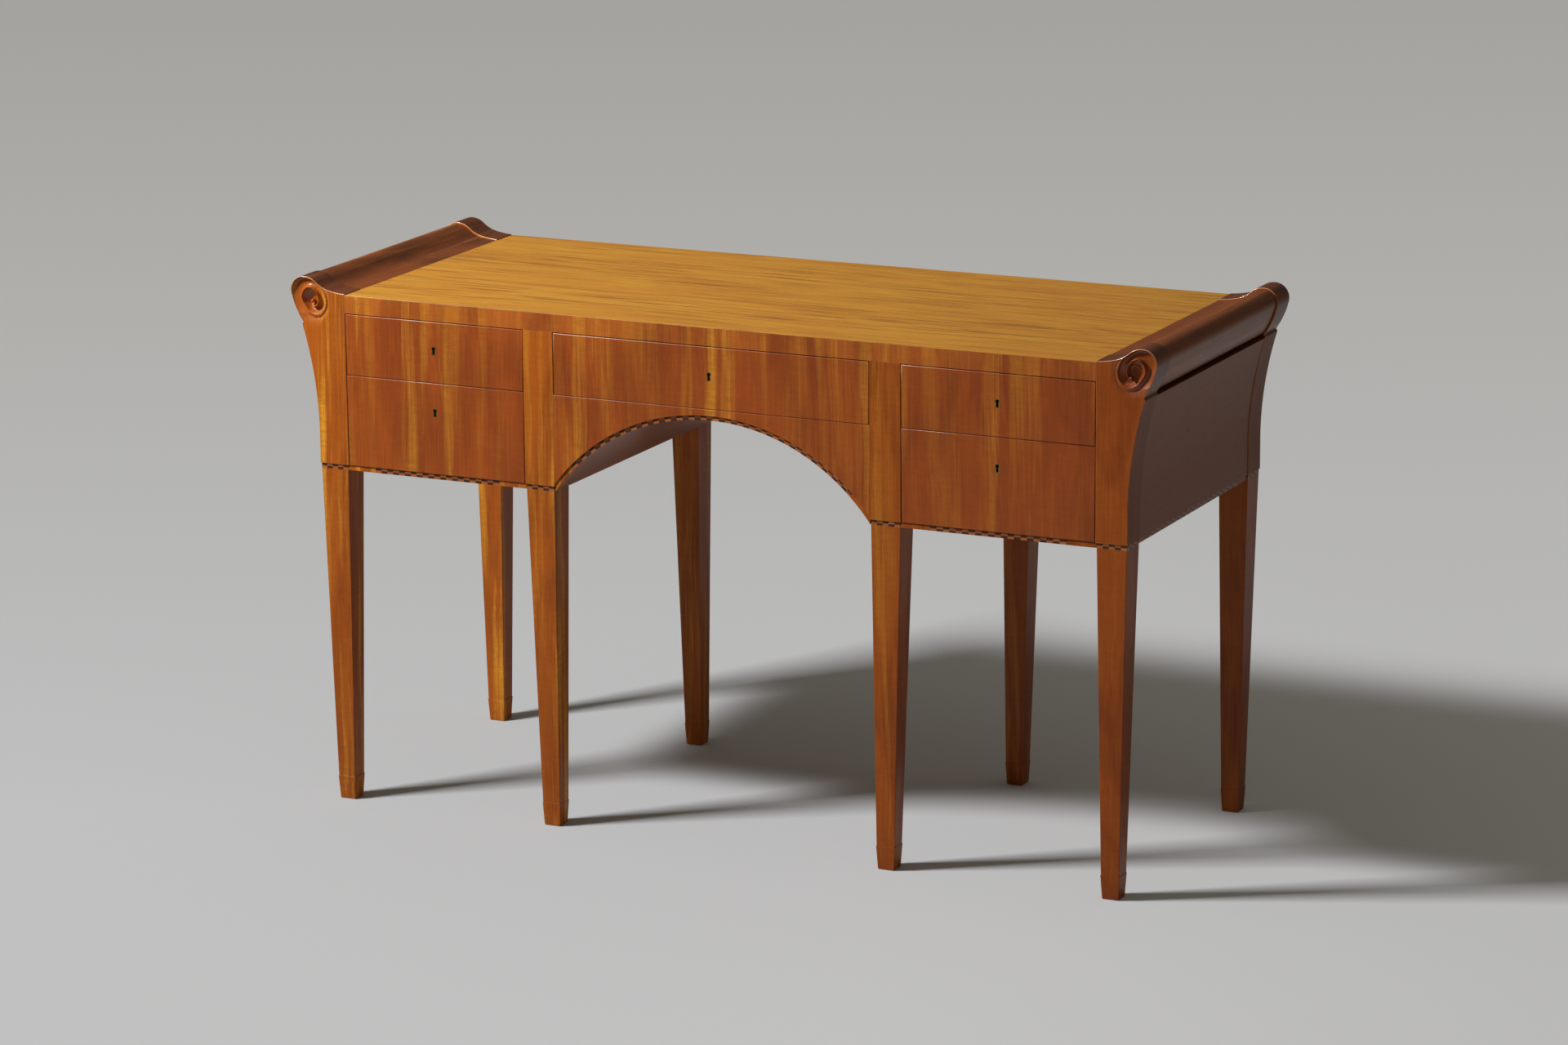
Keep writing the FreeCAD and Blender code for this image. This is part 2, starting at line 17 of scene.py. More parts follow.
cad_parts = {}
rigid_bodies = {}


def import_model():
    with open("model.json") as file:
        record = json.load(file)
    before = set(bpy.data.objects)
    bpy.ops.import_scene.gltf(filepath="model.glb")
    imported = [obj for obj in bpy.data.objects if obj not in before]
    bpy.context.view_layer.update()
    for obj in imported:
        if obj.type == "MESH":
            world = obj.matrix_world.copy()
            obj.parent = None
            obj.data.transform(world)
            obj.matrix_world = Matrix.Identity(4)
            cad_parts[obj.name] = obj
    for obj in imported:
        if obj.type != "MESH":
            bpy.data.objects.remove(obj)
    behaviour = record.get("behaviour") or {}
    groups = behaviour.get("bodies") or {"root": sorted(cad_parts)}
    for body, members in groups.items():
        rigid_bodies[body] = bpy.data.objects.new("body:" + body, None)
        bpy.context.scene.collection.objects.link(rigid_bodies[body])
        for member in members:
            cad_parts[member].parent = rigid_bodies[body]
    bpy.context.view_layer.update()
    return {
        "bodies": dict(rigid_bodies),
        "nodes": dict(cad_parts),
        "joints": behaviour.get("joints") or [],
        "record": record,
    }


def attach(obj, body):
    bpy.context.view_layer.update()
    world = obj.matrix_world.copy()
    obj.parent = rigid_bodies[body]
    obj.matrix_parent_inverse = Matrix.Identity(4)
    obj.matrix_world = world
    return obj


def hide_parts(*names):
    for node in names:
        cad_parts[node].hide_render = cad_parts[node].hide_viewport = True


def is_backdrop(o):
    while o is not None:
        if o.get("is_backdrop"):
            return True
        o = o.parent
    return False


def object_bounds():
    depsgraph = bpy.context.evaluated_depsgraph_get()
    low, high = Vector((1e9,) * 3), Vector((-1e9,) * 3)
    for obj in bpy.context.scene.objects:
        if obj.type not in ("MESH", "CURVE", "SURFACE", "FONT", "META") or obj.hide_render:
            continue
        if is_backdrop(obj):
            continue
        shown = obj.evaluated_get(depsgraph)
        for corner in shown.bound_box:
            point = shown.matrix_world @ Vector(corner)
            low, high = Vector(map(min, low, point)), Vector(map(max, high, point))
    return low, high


MM = 0.001
FULL_TURN = 360.0
LOG = logging.getLogger("desk")

# Marks that a piece carries for its material: which board a face is on, and whether it is an arris.
BOARD = "board"
ARRIS = "arris"
# Marks that the rows of checks carry for their tree.
FACING = "facing"
PHASE = "phase"
DARK = "dark"

BOARD_SEED = 7
CHECK_SEED = 11
# How far a rounded arris lies off its corner at the middle, as a share of its radius.
ARRIS_MIDDLE = 0.3
# How squarely a face looks forward or back: less on a side face, more on a flat front one.
SIDEWAYS = 0.5
SQUARE_ON = 0.99

Spot = tuple[float, float]
Point = tuple[float, float, float]
Socket = bpy.types.NodeSocket


class Grain(Enum):
    """Direction in which the fibres of a board run."""

    ALONG_X = 0
    ALONG_Y = 1
    ALONG_Z = 2


class Step(Enum):
    """Sums that one node works out, each with the node's type and its settings."""

    ADD = ("ShaderNodeMath", {"operation": "ADD"})
    SUBTRACT = ("ShaderNodeMath", {"operation": "SUBTRACT"})
    MULTIPLY = ("ShaderNodeMath", {"operation": "MULTIPLY"})
    DIVIDE = ("ShaderNodeMath", {"operation": "DIVIDE"})
    POWER = ("ShaderNodeMath", {"operation": "POWER"})
    MODULO = ("ShaderNodeMath", {"operation": "MODULO"})
    GREATEST = ("ShaderNodeMath", {"operation": "MAXIMUM"})
    LEAST = ("ShaderNodeMath", {"operation": "MINIMUM"})
    BELOW = ("ShaderNodeMath", {"operation": "LESS_THAN"})
    ABOVE = ("ShaderNodeMath", {"operation": "GREATER_THAN"})
    MOVE = ("ShaderNodeVectorMath", {"operation": "ADD"})
    TAKE = ("ShaderNodeVectorMath", {"operation": "SUBTRACT"})
    STRETCH = ("ShaderNodeVectorMath", {"operation": "MULTIPLY"})
    SCALE = ("ShaderNodeVectorMath", {"operation": "SCALE"})
    DOT = ("ShaderNodeVectorMath", {"operation": "DOT_PRODUCT"})
    RAMP = ("ShaderNodeMapRange", {"interpolation_type": "SMOOTHSTEP"})
    MIX = ("ShaderNodeMix", {"data_type": "RGBA"})


def linear(hex_code: str) -> tuple[float, float, float, float]:
    """Turns an sRGB hex colour into the linear colour that shaders take.

    Args:
        hex_code: Six hex digits, such as "96501e".

    Returns:
        Linear red, green and blue, with an alpha of 1.
    """
    channels = [int(hex_code[i : i + 2], 16) / 255 for i in (0, 2, 4)]
    red, green, blue = (c / 12.92 if c <= 0.04045 else ((c + 0.055) / 1.055) ** 2.4 for c in channels)
    return red, green, blue, 1.0


class NodeTree:
    """Adds nodes to a shader or geometry tree, each with its settings and links."""

    def __init__(self, tree: bpy.types.NodeTree) -> None:
        """Takes the tree to fill, and empties it."""
        self.tree = tree
        tree.nodes.clear()

    def feed(self, socket: Socket, value: object) -> None:
        """Links another socket to an input, or sets the input's own value.

        Args:
            socket: The input.
            value: Socket or value that it takes.
        """
        if isinstance(value, Socket):
            self.tree.links.new(value, socket)
        else:
            socket.default_value = value

    def add(self, kind: str, inputs: Mapping | None = None, **settings: object) -> bpy.types.Node:
        """Adds one node.

        Args:
            kind: The node's type name.
            inputs: Values or sockets by input name or number.
            **settings: The node's own settings.

        Returns:
            The new node.
        """
        node = self.tree.nodes.new(kind)
        for key, value in settings.items():
            setattr(node, key, value)
        for key, value in (inputs or {}).items():
            self.feed(node.inputs[key], value)
        return node

    def out(self, step: Step, *inputs: object) -> Socket:
        """Adds the node of one sum.

        Args:
            step: The sum.
            *inputs: Values or sockets for the inputs that the sum uses, in order.

        Returns:
            The result's socket.
        """
        kind, settings = step.value
        node = self.add(kind, **settings)
        for socket, value in zip([socket for socket in node.inputs if socket.enabled], inputs):
            self.feed(socket, value)
        return next(socket for socket in node.outputs if socket.enabled)


@dataclass(frozen=True)
class Pattern:
    """A noise drawn out along the grain; sizes are in millimetres.

    Attributes:
        across: Usual size of a mark across the grain.
        along: Usual size of a mark along the grain.
        detail: Layers of finer marks.
        bend: How far the marks fold over one another.
        low: Strength of the noise at which its effect begins.
        high: Strength of the noise at which its effect is full.
    """

    across: float
    along: float
    detail: float = 1.0
    bend: float = 0.0
    low: float = 0.0
    high: float = 1.0

    def noise(self, nodes: NodeTree, place: Socket, grain: Grain) -> bpy.types.Node:
        """Adds the noise.

        Args:
            nodes: Tree to fill.
            place: Socket that gives the place.
            grain: Direction of the grain.

        Returns:
            The noise's node.
        """
        scale = [1 / (self.across * MM)] * 3
        scale[grain.value] = 1 / (self.along * MM)
        spread = nodes.out(Step.STRETCH, place, scale)
        inputs = {"Vector": spread, "Scale": 1.0, "Detail": self.detail, "Distortion": self.bend}
        return nodes.add("ShaderNodeTexNoise", inputs)

    def marks(self, nodes: NodeTree, place: Socket, grain: Grain) -> Socket:
        """Adds the noise's effect, 0 at its low strength and 1 at its high one."""
        return nodes.out(Step.RAMP, self.noise(nodes, place, grain).outputs["Fac"], self.low, self.high)


# Marks of every board. A real pore is about 0.1 mm wide and a fibre finer still, so the pores, lines and
# fibres are drawn as coarse as they need to be to show.
WANDER = Pattern(90.0, 330.0)
FLUTTER = Pattern(24.0, 26.0)
CLUSTERS = Pattern(80.0, 1900.0, low=0.44, high=0.66)
STREAKS = Pattern(12.0, 420.0, 2.0, low=0.45, high=0.74)
FIBRES = Pattern(2.1, 130.0, 3.0)
FIGURE = Pattern(60.0, 240.0, 3.0, 0.8, 0.36, 0.7)
PORES = Pattern(0.45, 7.0, low=0.6, high=0.74)
LINES = Pattern(1.1, 90.0, 4.0)
MOTTLE = Pattern(22.0, 5.0, 2.0, 0.6)
RUBBING = Pattern(26.0, 40.0, 3.0, low=0.3, high=0.6)
POLISH_WAVES = Pattern(55.0, 150.0)
# Marks of the metals. A real file stroke is about 0.1 mm wide and is drawn coarser for the same reason.
BLOTS = Pattern(3.846, 3.846, 4.0, low=0.4, high=0.68)
FILE_STROKES = Pattern(0.6667, 11.111, 2.0)

# The noise's mean strength, and how far its swing about that is widened for the lines and the mottle.
NOISE_MEAN = 0.5
LINE_CONTRAST = 4.0
MOTTLE_CONTRAST = 2.0
# How far from the desk's middle the drift runs, and the step from one board's figure to another's, in metres.
DRIFT_REACH = 0.7
BOARD_STEP = (3.1, 5.7, 2.3)
# How far the fibres flutter, and how deep the reliefs are, in millimetres.
FLUTTER_REACH = 0.8
GRAIN_DEPTH = 0.05
POLISH_DEPTH = 0.1
FILE_DEPTH = 0.02
# How strongly the mottle shows on the ground, and how much more on a streak.
GROUND_MOTTLE = 0.35
STREAK_MOTTLE = 1.4
# How strongly an arris is turned pale, partly as rubbed wear and partly as a painted highlight: everywhere,
# where it is rubbed most, upright, and where it looks up, the last being the painted highlight of light from
# above.
LEAST_WEAR_AND_HIGHLIGHT = 0.45
MORE_RUBBING = 0.5
UPRIGHT_WEAR_AND_HIGHLIGHT = 0.25
UPWARD_PAINTED_HIGHLIGHT = 0.9
# What the fibre lines, the pores and the tarnish add to the roughness.
LINE_ROUGHNESS = 0.1
PORE_ROUGHNESS = 0.12
TARNISH_ROUGHNESS = 0.22
# Height of a fibre line beside a pore's depth, and how strongly each relief bends the light.
LINE_HEIGHT = 0.5
GRAIN_RELIEF = 0.14
POLISH_RELIEF = 0.5
FILE_RELIEF = 0.2
WOOD_IOR = 1.5
POLISH_IOR = 1.52


@dataclass(frozen=True)
class WoodFinish:
    """A veneer or board with its polish; widths and lengths are in millimetres.

    Attributes:
        name: Material name.
        grain: Direction of the fibres.
        base: Ground colour.
        streak: Colour of the ribbon streaks.
        deep: Colour of the darker figure.
        pore: Colour of the open pores.
        edge: Colour of the pale arrises, partly rubbed wear and partly a painted highlight.
        streak_width: Usual width of a streak.
        streak_length: Usual length of a streak.
        cluster_width: Usual width of a group of streaks.
        raggedness: How far the fibres break up the sides of a streak.
        streak_share: How strongly the streaks show.
        lone_share: Share of that strength left outside the groups.
        deep_share: How strongly the darker figure shows.
        line_share: How strongly the fine fibre lines show.
        mottle_share: How strongly the cross ripples show.
        pore_share: How strongly the pores show.
        sway: How far the grain wanders.
        drift: How far the ground turns to the darker figure at the desk's right end.
        streak_drift: How much stronger the streaks are at that end.
        roughness: Roughness of the surface under the polish.
        specular: Strength of its shine.
        coat: Weight of the polish layer.
        coat_roughness: Roughness of the polish layer.
    """

    name: str
    grain: Grain
    base: str
    streak: str
    deep: str
    pore: str
    edge: str = "cf9a74"
    streak_width: float = STREAKS.across
    streak_length: float = STREAKS.along
    cluster_width: float = CLUSTERS.across
    raggedness: float = 0.45
    streak_share: float = 0.85
    lone_share: float = 0.25
    deep_share: float = 0.55
    line_share: float = 0.2
    mottle_share: float = 0.3
    pore_share: float = 0.3
    sway: float = 8.0
    drift: float = 0.0
    streak_drift: float = 0.0
    roughness: float = 0.42
    specular: float = 0.22
    coat: float = 0.07
    coat_roughness: float = 0.16

    def grown(self, nodes: NodeTree, place: Socket) -> Socket:
        """Bends the place so that the grain wanders.

        Args:
            nodes: Tree to fill.
            place: Socket that gives the place.

        Returns:
            The bent place.
        """
        bent = place
        for pattern, reach in ((WANDER, 2 * self.sway), (FLUTTER, FLUTTER_REACH)):
            noise = pattern.noise(nodes, place, self.grain).outputs["Color"]
            aside = nodes.out(Step.TAKE, noise, [NOISE_MEAN] * 3)
            bent = nodes.out(Step.MOVE, bent, nodes.out(Step.STRETCH, aside, [reach * MM] * 3))
        return bent

    def streaks(self, nodes: NodeTree, grown: Socket, rightward: Socket) -> Socket:
        """Lays the ribbon streaks.

        Args:
            nodes: Tree to fill.
            grown: The place, bent with the grain.
            rightward: Place from the desk's left end to its right end, 0 to 1.

        Returns:
            How strongly the streaks show.
        """
        fibres = FIBRES.noise(nodes, grown, self.grain).outputs["Fac"]
        ragged = nodes.out(Step.MULTIPLY, nodes.out(Step.SUBTRACT, fibres, NOISE_MEAN), self.raggedness)
        pattern = replace(STREAKS, across=self.streak_width, along=self.streak_length)
        bands = nodes.out(Step.ADD, pattern.noise(nodes, grown, self.grain).outputs["Fac"], ragged)
        bands = nodes.out(Step.RAMP, bands, pattern.low, pattern.high)
        cluster = replace(CLUSTERS, across=self.cluster_width).marks(nodes, grown, self.grain)
        strength = nodes.out(Step.MULTIPLY, cluster, self.streak_share * (1 - self.lone_share))
        strength = nodes.out(Step.ADD, strength, self.streak_share * self.lone_share)
        change = nodes.out(Step.ADD, nodes.out(Step.MULTIPLY, rightward, self.streak_drift), 1.0)
        return nodes.out(Step.MULTIPLY, bands, nodes.out(Step.MULTIPLY, strength, change))

    def wear_and_highlight(self, nodes: NodeTree, place: Socket) -> Socket:
        """Finds where the arrises are turned pale by wear and by a painted highlight, most where they look
        up.

        Args:
            nodes: Tree to fill.
            place: Socket that gives the place.

        Returns:
            How strongly they are turned pale by wear and painted highlight.
        """
        arris = nodes.add("ShaderNodeAttribute", attribute_name=ARRIS).outputs["Fac"]
        normal = nodes.add("ShaderNodeNewGeometry").outputs["Normal"]
        upward = nodes.out(Step.GREATEST, nodes.add("ShaderNodeSeparateXYZ", {0: normal}).outputs[2], 0.0)
        # Painted highlight: arrises that look up are turned paler, as if lit from above.
        upward = nodes.out(Step.ADD, nodes.out(Step.MULTIPLY, upward, UPWARD_PAINTED_HIGHLIGHT), UPRIGHT_WEAR_AND_HIGHLIGHT)
        rubbed = nodes.out(Step.MULTIPLY, RUBBING.marks(nodes, place, self.grain), MORE_RUBBING)
        worn_and_highlit = nodes.out(Step.MULTIPLY, arris, nodes.out(Step.ADD, rubbed, LEAST_WEAR_AND_HIGHLIGHT))
        return nodes.out(Step.LEAST, nodes.out(Step.MULTIPLY, worn_and_highlit, upward), 1.0)

    def material(self) -> bpy.types.Material:
        """Builds the material.

        Returns:
            The finished material.
        """
        material = bpy.data.materials.new(self.name)
        material.use_nodes = True
        nodes = NodeTree(material.node_tree)
        place = nodes.add("ShaderNodeTexCoord").outputs["Object"]
        across = nodes.add("ShaderNodeSeparateXYZ", {0: place}).outputs[0]
        rightward = nodes.out(Step.RAMP, across, -DRIFT_REACH, DRIFT_REACH)
        board = nodes.add("ShaderNodeAttribute", attribute_name=BOARD).outputs["Fac"]
        place = nodes.out(Step.MOVE, place, nodes.out(Step.SCALE, BOARD_STEP, board))
        grown = self.grown(nodes, place)

        streaks = self.streaks(nodes, grown, rightward)
        figure = nodes.out(Step.MULTIPLY, FIGURE.marks(nodes, grown, self.grain), self.deep_share)
        figure = nodes.out(Step.ADD, figure, nodes.out(Step.MULTIPLY, rightward, self.drift))
        pores = PORES.marks(nodes, grown, self.grain)
        lines = LINES.noise(nodes, grown, self.grain).outputs["Fac"]
        mottle = MOTTLE.noise(nodes, place, self.grain).outputs["Fac"]

        colour = nodes.out(Step.MIX, figure, linear(self.base), linear(self.deep))
        colour = nodes.out(Step.MIX, streaks, colour, linear(self.streak))
        lines_off = nodes.out(Step.SUBTRACT, lines, NOISE_MEAN)
        mottle_off = nodes.out(Step.SUBTRACT, mottle, NOISE_MEAN)
        shade = nodes.out(Step.MULTIPLY, lines_off, self.line_share * LINE_CONTRAST)
        lift = nodes.out(Step.ADD, nodes.out(Step.MULTIPLY, streaks, STREAK_MOTTLE), GROUND_MOTTLE)
        ripple = nodes.out(Step.MULTIPLY, mottle_off, self.mottle_share * MOTTLE_CONTRAST)
        shade = nodes.out(Step.ADD, shade, nodes.out(Step.MULTIPLY, ripple, lift))
        colour = nodes.out(Step.SCALE, colour, nodes.out(Step.ADD, shade, 1.0))
        open_pores = nodes.out(Step.MULTIPLY, pores, self.pore_share)
        colour = nodes.out(Step.MIX, open_pores, colour, linear(self.pore))
        colour = nodes.out(Step.MIX, self.wear_and_highlight(nodes, place), colour, linear(self.edge))

        rough = nodes.out(Step.MULTIPLY, lines, LINE_ROUGHNESS)
        rough = nodes.out(Step.ADD, rough, self.roughness - LINE_ROUGHNESS / 2)
        rough = nodes.out(Step.ADD, rough, nodes.out(Step.MULTIPLY, pores, PORE_ROUGHNESS))
        height = nodes.out(Step.SUBTRACT, nodes.out(Step.MULTIPLY, lines, LINE_HEIGHT), pores)
        relief = {"Strength": GRAIN_RELIEF, "Distance": GRAIN_DEPTH * MM, "Height": height}
        bump = nodes.add("ShaderNodeBump", relief).outputs[0]
        wave = POLISH_WAVES.noise(nodes, place, self.grain).outputs["Fac"]
        relief = {"Strength": POLISH_RELIEF, "Distance": POLISH_DEPTH * MM, "Height": wave, "Normal": bump}
        polish = nodes.add("ShaderNodeBump", relief).outputs[0]
        shader = nodes.add(
            "ShaderNodeBsdfPrincipled",
            {
                "Base Color": colour,
                "Roughness": rough,
                "IOR": WOOD_IOR,
                "Specular IOR Level": self.specular,
                "Normal": bump,
                "Coat Weight": self.coat,
                "Coat Roughness": self.coat_roughness,
                "Coat IOR": POLISH_IOR,
                "Coat Normal": polish,
            },
        )
        nodes.add("ShaderNodeOutputMaterial", {"Surface": shader.outputs[0]})
        return material


@dataclass(frozen=True)
class MetalFinish:
    """A bare metal with a little tarnish.

    Attributes:
        name: Material name.
        base: Colour of the clean metal.
        tarnish: Colour of the tarnish.
        tarnish_share: How strongly the tarnish shows.
        roughness: Roughness of the clean metal.
    """

    name: str
    base: str
    tarnish: str
    tarnish_share: float
    roughness: float

    def material(self) -> bpy.types.Material:
        """Builds the material.

        Returns:
            The finished material.
        """
        material = bpy.data.materials.new(self.name)
        material.use_nodes = True
        nodes = NodeTree(material.node_tree)
        place = nodes.add("ShaderNodeTexCoord").outputs["Object"]
        blots = BLOTS.marks(nodes, place, Grain.ALONG_Z)
        strokes = FILE_STROKES.noise(nodes, place, Grain.ALONG_Z).outputs["Fac"]
        tarnished = nodes.out(Step.MULTIPLY, blots, self.tarnish_share)
        colour = nodes.out(Step.MIX, tarnished, linear(self.base), linear(self.tarnish))
        rough = nodes.out(Step.ADD, nodes.out(Step.MULTIPLY, blots, TARNISH_ROUGHNESS), self.roughness)
        relief = {"Strength": FILE_RELIEF, "Distance": FILE_DEPTH * MM, "Height": strokes}
        bump = nodes.add("ShaderNodeBump", relief).outputs[0]
        shader = nodes.add(
            "ShaderNodeBsdfPrincipled",
            {"Base Color": colour, "Metallic": 1.0, "Roughness": rough, "Normal": bump},
        )
        nodes.add("ShaderNodeOutputMaterial", {"Surface": shader.outputs[0]})
        return material


# French-polished satinwood veneer, sliced and matched upright: golden ribbons in a red-brown ground, and a
# low sheen with no mirror. Each wood's IOR is the polish's usual 1.5.
FRONT = WoodFinish(
    "satinwood_fronts",
    Grain.ALONG_Z,
    "90430f",
    "b97a20",
    "6b2c09",
    "45200c",
    streak_width=19.0,
    raggedness=0.34,
    lone_share=0.3,
    drift=0.4,
    streak_drift=-0.5,
)
# Solid satinwood, planed and French-polished: broader golden ribbons, paler toward the left end.
POST = WoodFinish(
    "satinwood_posts",
    Grain.ALONG_Z,
    "9c4f13",
    "c68726",
    "73330c",
    "45200c",
    cluster_width=34.0,
    streak_share=0.95,
    lone_share=0.45,
    drift=0.56,
    streak_drift=-0.95,
    specular=0.12,
)
# The same wood, gouged and burnished: a tighter highlight picks out each ridge.
CARVING = replace(POST, name="satinwood_carving", roughness=0.36, specular=0.3, coat=0.4, coat_roughness=0.11)
# The posts' flat side faces, cut along the growth rings: plain and matt beside the fronts; their darker
# ground, darkening further toward the desk's right end, is painted shade.
POST_SIDE_WITH_PAINTED_SHADE = WoodFinish(
    "satinwood_post_sides_painted_shade",
    Grain.ALONG_Z,
    "8c4613",
    "9c5c1d",
    "673213",
    "371a0b",
    streak_share=0.35,
    # Darker toward the desk's right end: painted shade.
    drift=1.0,
    specular=0.08,
    coat=0.03,
)
# The strip above the drawers, cut from the same sheets but lighter.
FRIEZE = replace(FRONT, name="satinwood_frieze", base="a35618", lone_share=0.5)
# Flat-sawn satinwood panels with dulled polish: a soft wandering figure on a ground that turns darker toward
# the desk's right end, a darkening that is painted shade.
SIDE_WITH_PAINTED_SHADE = WoodFinish(
    "satinwood_sides_painted_shade",
    Grain.ALONG_Y,
    "88481c",
    "85522c",
    "703d22",
    "45240f",
    streak_width=5.0,
    streak_share=0.3,
    lone_share=0.6,
    sway=70.0,
    # Darker toward the desk's right end: painted shade.
    drift=1.0,
    specular=0.1,
    coat=0.03,
)
# Satinwood veneer laid lengthwise on the top, faded by light: straw gold with short brown dashes.
TOP = WoodFinish(
    "satinwood_top",
    Grain.ALONG_X,
    "b67e26",
    "87521b",
    "aa6d20",
    "5d3510",
    # Pale pinkish edge colour: a painted highlight along the top's front arris, with some rubbed wear.
    edge="ecc9ae",
    streak_width=7.0,
    streak_length=190.0,
    cluster_width=34.0,
    raggedness=0.75,
    streak_share=1.1,
    lone_share=0.55,
    deep_share=0.75,
    mottle_share=0.12,
    pore_share=0.4,
)
# Darker satinwood, run to a moulding and polished: long brown shades along the scroll; its darker figure
# thins toward the desk's right end, painting the shaded right end lighter.
ROLL = WoodFinish(
    "satinwood_rolls",
    Grain.ALONG_Y,
    "6d3512",
    "90501d",
    "4a230c",
    "2c1406",
    cluster_width=24.0,
    lone_share=0.4,
    deep_share=0.9,
    # Below 0: less dark figure toward the right end, painted light on the shaded end.
    drift=-0.6,
    specular=0.16,
    coat=0.1,
)
# The posts' upper ends, stained nearly to walnut and polished like the scroll between them, and like it
# painted lighter toward the desk's right end, where they stand in shade.
STRAP = replace(ROLL, name="satinwood_straps", base="5a2c14", streak="85471b", deep="381a0b", coat=0.12)
# Planed, unpolished oak: pale, dry and matt.
LINING = WoodFinish(
    "oak_lining",
    Grain.ALONG_Y,
    "9c784a",
    "ab8858",
    "835f35",
    "5c4022",
    edge="a78252",
    streak_share=0.4,
    roughness=0.62,
    coat=0.0,
)
# Sawn ebony and stained boxwood squares, polished with the case: near-black and mid-brown.
EBONY = WoodFinish("ebony_checks", Grain.ALONG_X, "3b2012", "4a2a18", "2b170d", "1b0f08", edge="452a1b")
BOXWOOD = WoodFinish("boxwood_checks", Grain.ALONG_X, "925123", "a05f2b", "7e421b", "5c3315", edge="925123")
# Sheet brass, filed and long handled: dull gold that browns in blots, with a broken highlight.
BRASS = MetalFinish("aged_brass", "b08d4e", "5c4424", 0.55, 0.3)
# Filed steel, left bare: cool grey with dark blots and short strokes of light.
STEEL = MetalFinish("filed_steel", "9a9893", "4b4640", 0.4, 0.36)


class Workshop:
    """Holds the frame and the materials, and finishes pieces on it."""

    def __init__(self, frame: Mapping) -> None:
        """Takes the nodes, bodies and slots from the frame, with no material made yet.

        Args:
            frame: The loaded frame.
        """
        self.nodes = frame["nodes"]
        bodies = frame["record"]["behaviour"]["bodies"]
        self.body_of = {node: body for body, members in bodies.items() for node in members}
        self.slot_of = {part["node"]: part["material_slot"] for part in frame["record"]["subparts"]}
        self.materials: dict[str, bpy.types.Material] = {}
        self.random = random.Random(BOARD_SEED)

    def material(self, finish: WoodFinish | MetalFinish) -> bpy.types.Material:
        """Gives a finish's material, made once.

        Args:
            finish: The finish wanted.

        Returns:
            Its material.
        """
        if finish.name not in self.materials:
            self.materials[finish.name] = finish.material()
        return self.materials[finish.name]

    def finish(self, mesh: bpy.types.Mesh, name: str, node: str, sharp_degrees: float = 32.0) -> None:
        """Puts a mesh on the frame in place of a CAD node.

        Args:
            mesh: The finished mesh, in the desk's own frame.
            name: Name of the piece.
            node: CAD node that the piece stands for.
            sharp_degrees: Edges that turn more than this stay sharp.
        """
        mesh.polygons.foreach_set("use_smooth", [True] * len(mesh.polygons))
        mesh.set_sharp_from_angle(angle=math.radians(sharp_degrees))
        piece = bpy.data.objects.new(name, mesh)
        bpy.context.scene.collection.objects.link(piece)
        weigh = piece.modifiers.new("weigh", "WEIGHTED_NORMAL")
        weigh.keep_sharp = True
        weighed = bpy.data.meshes.new_from_object(piece.evaluated_get(bpy.context.evaluated_depsgraph_get()))
        piece.modifiers.clear()
        piece.data = weighed
        weighed.name = name
        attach(piece, self.body_of[node])
        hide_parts(node)
        LOG.info("%s made", name)


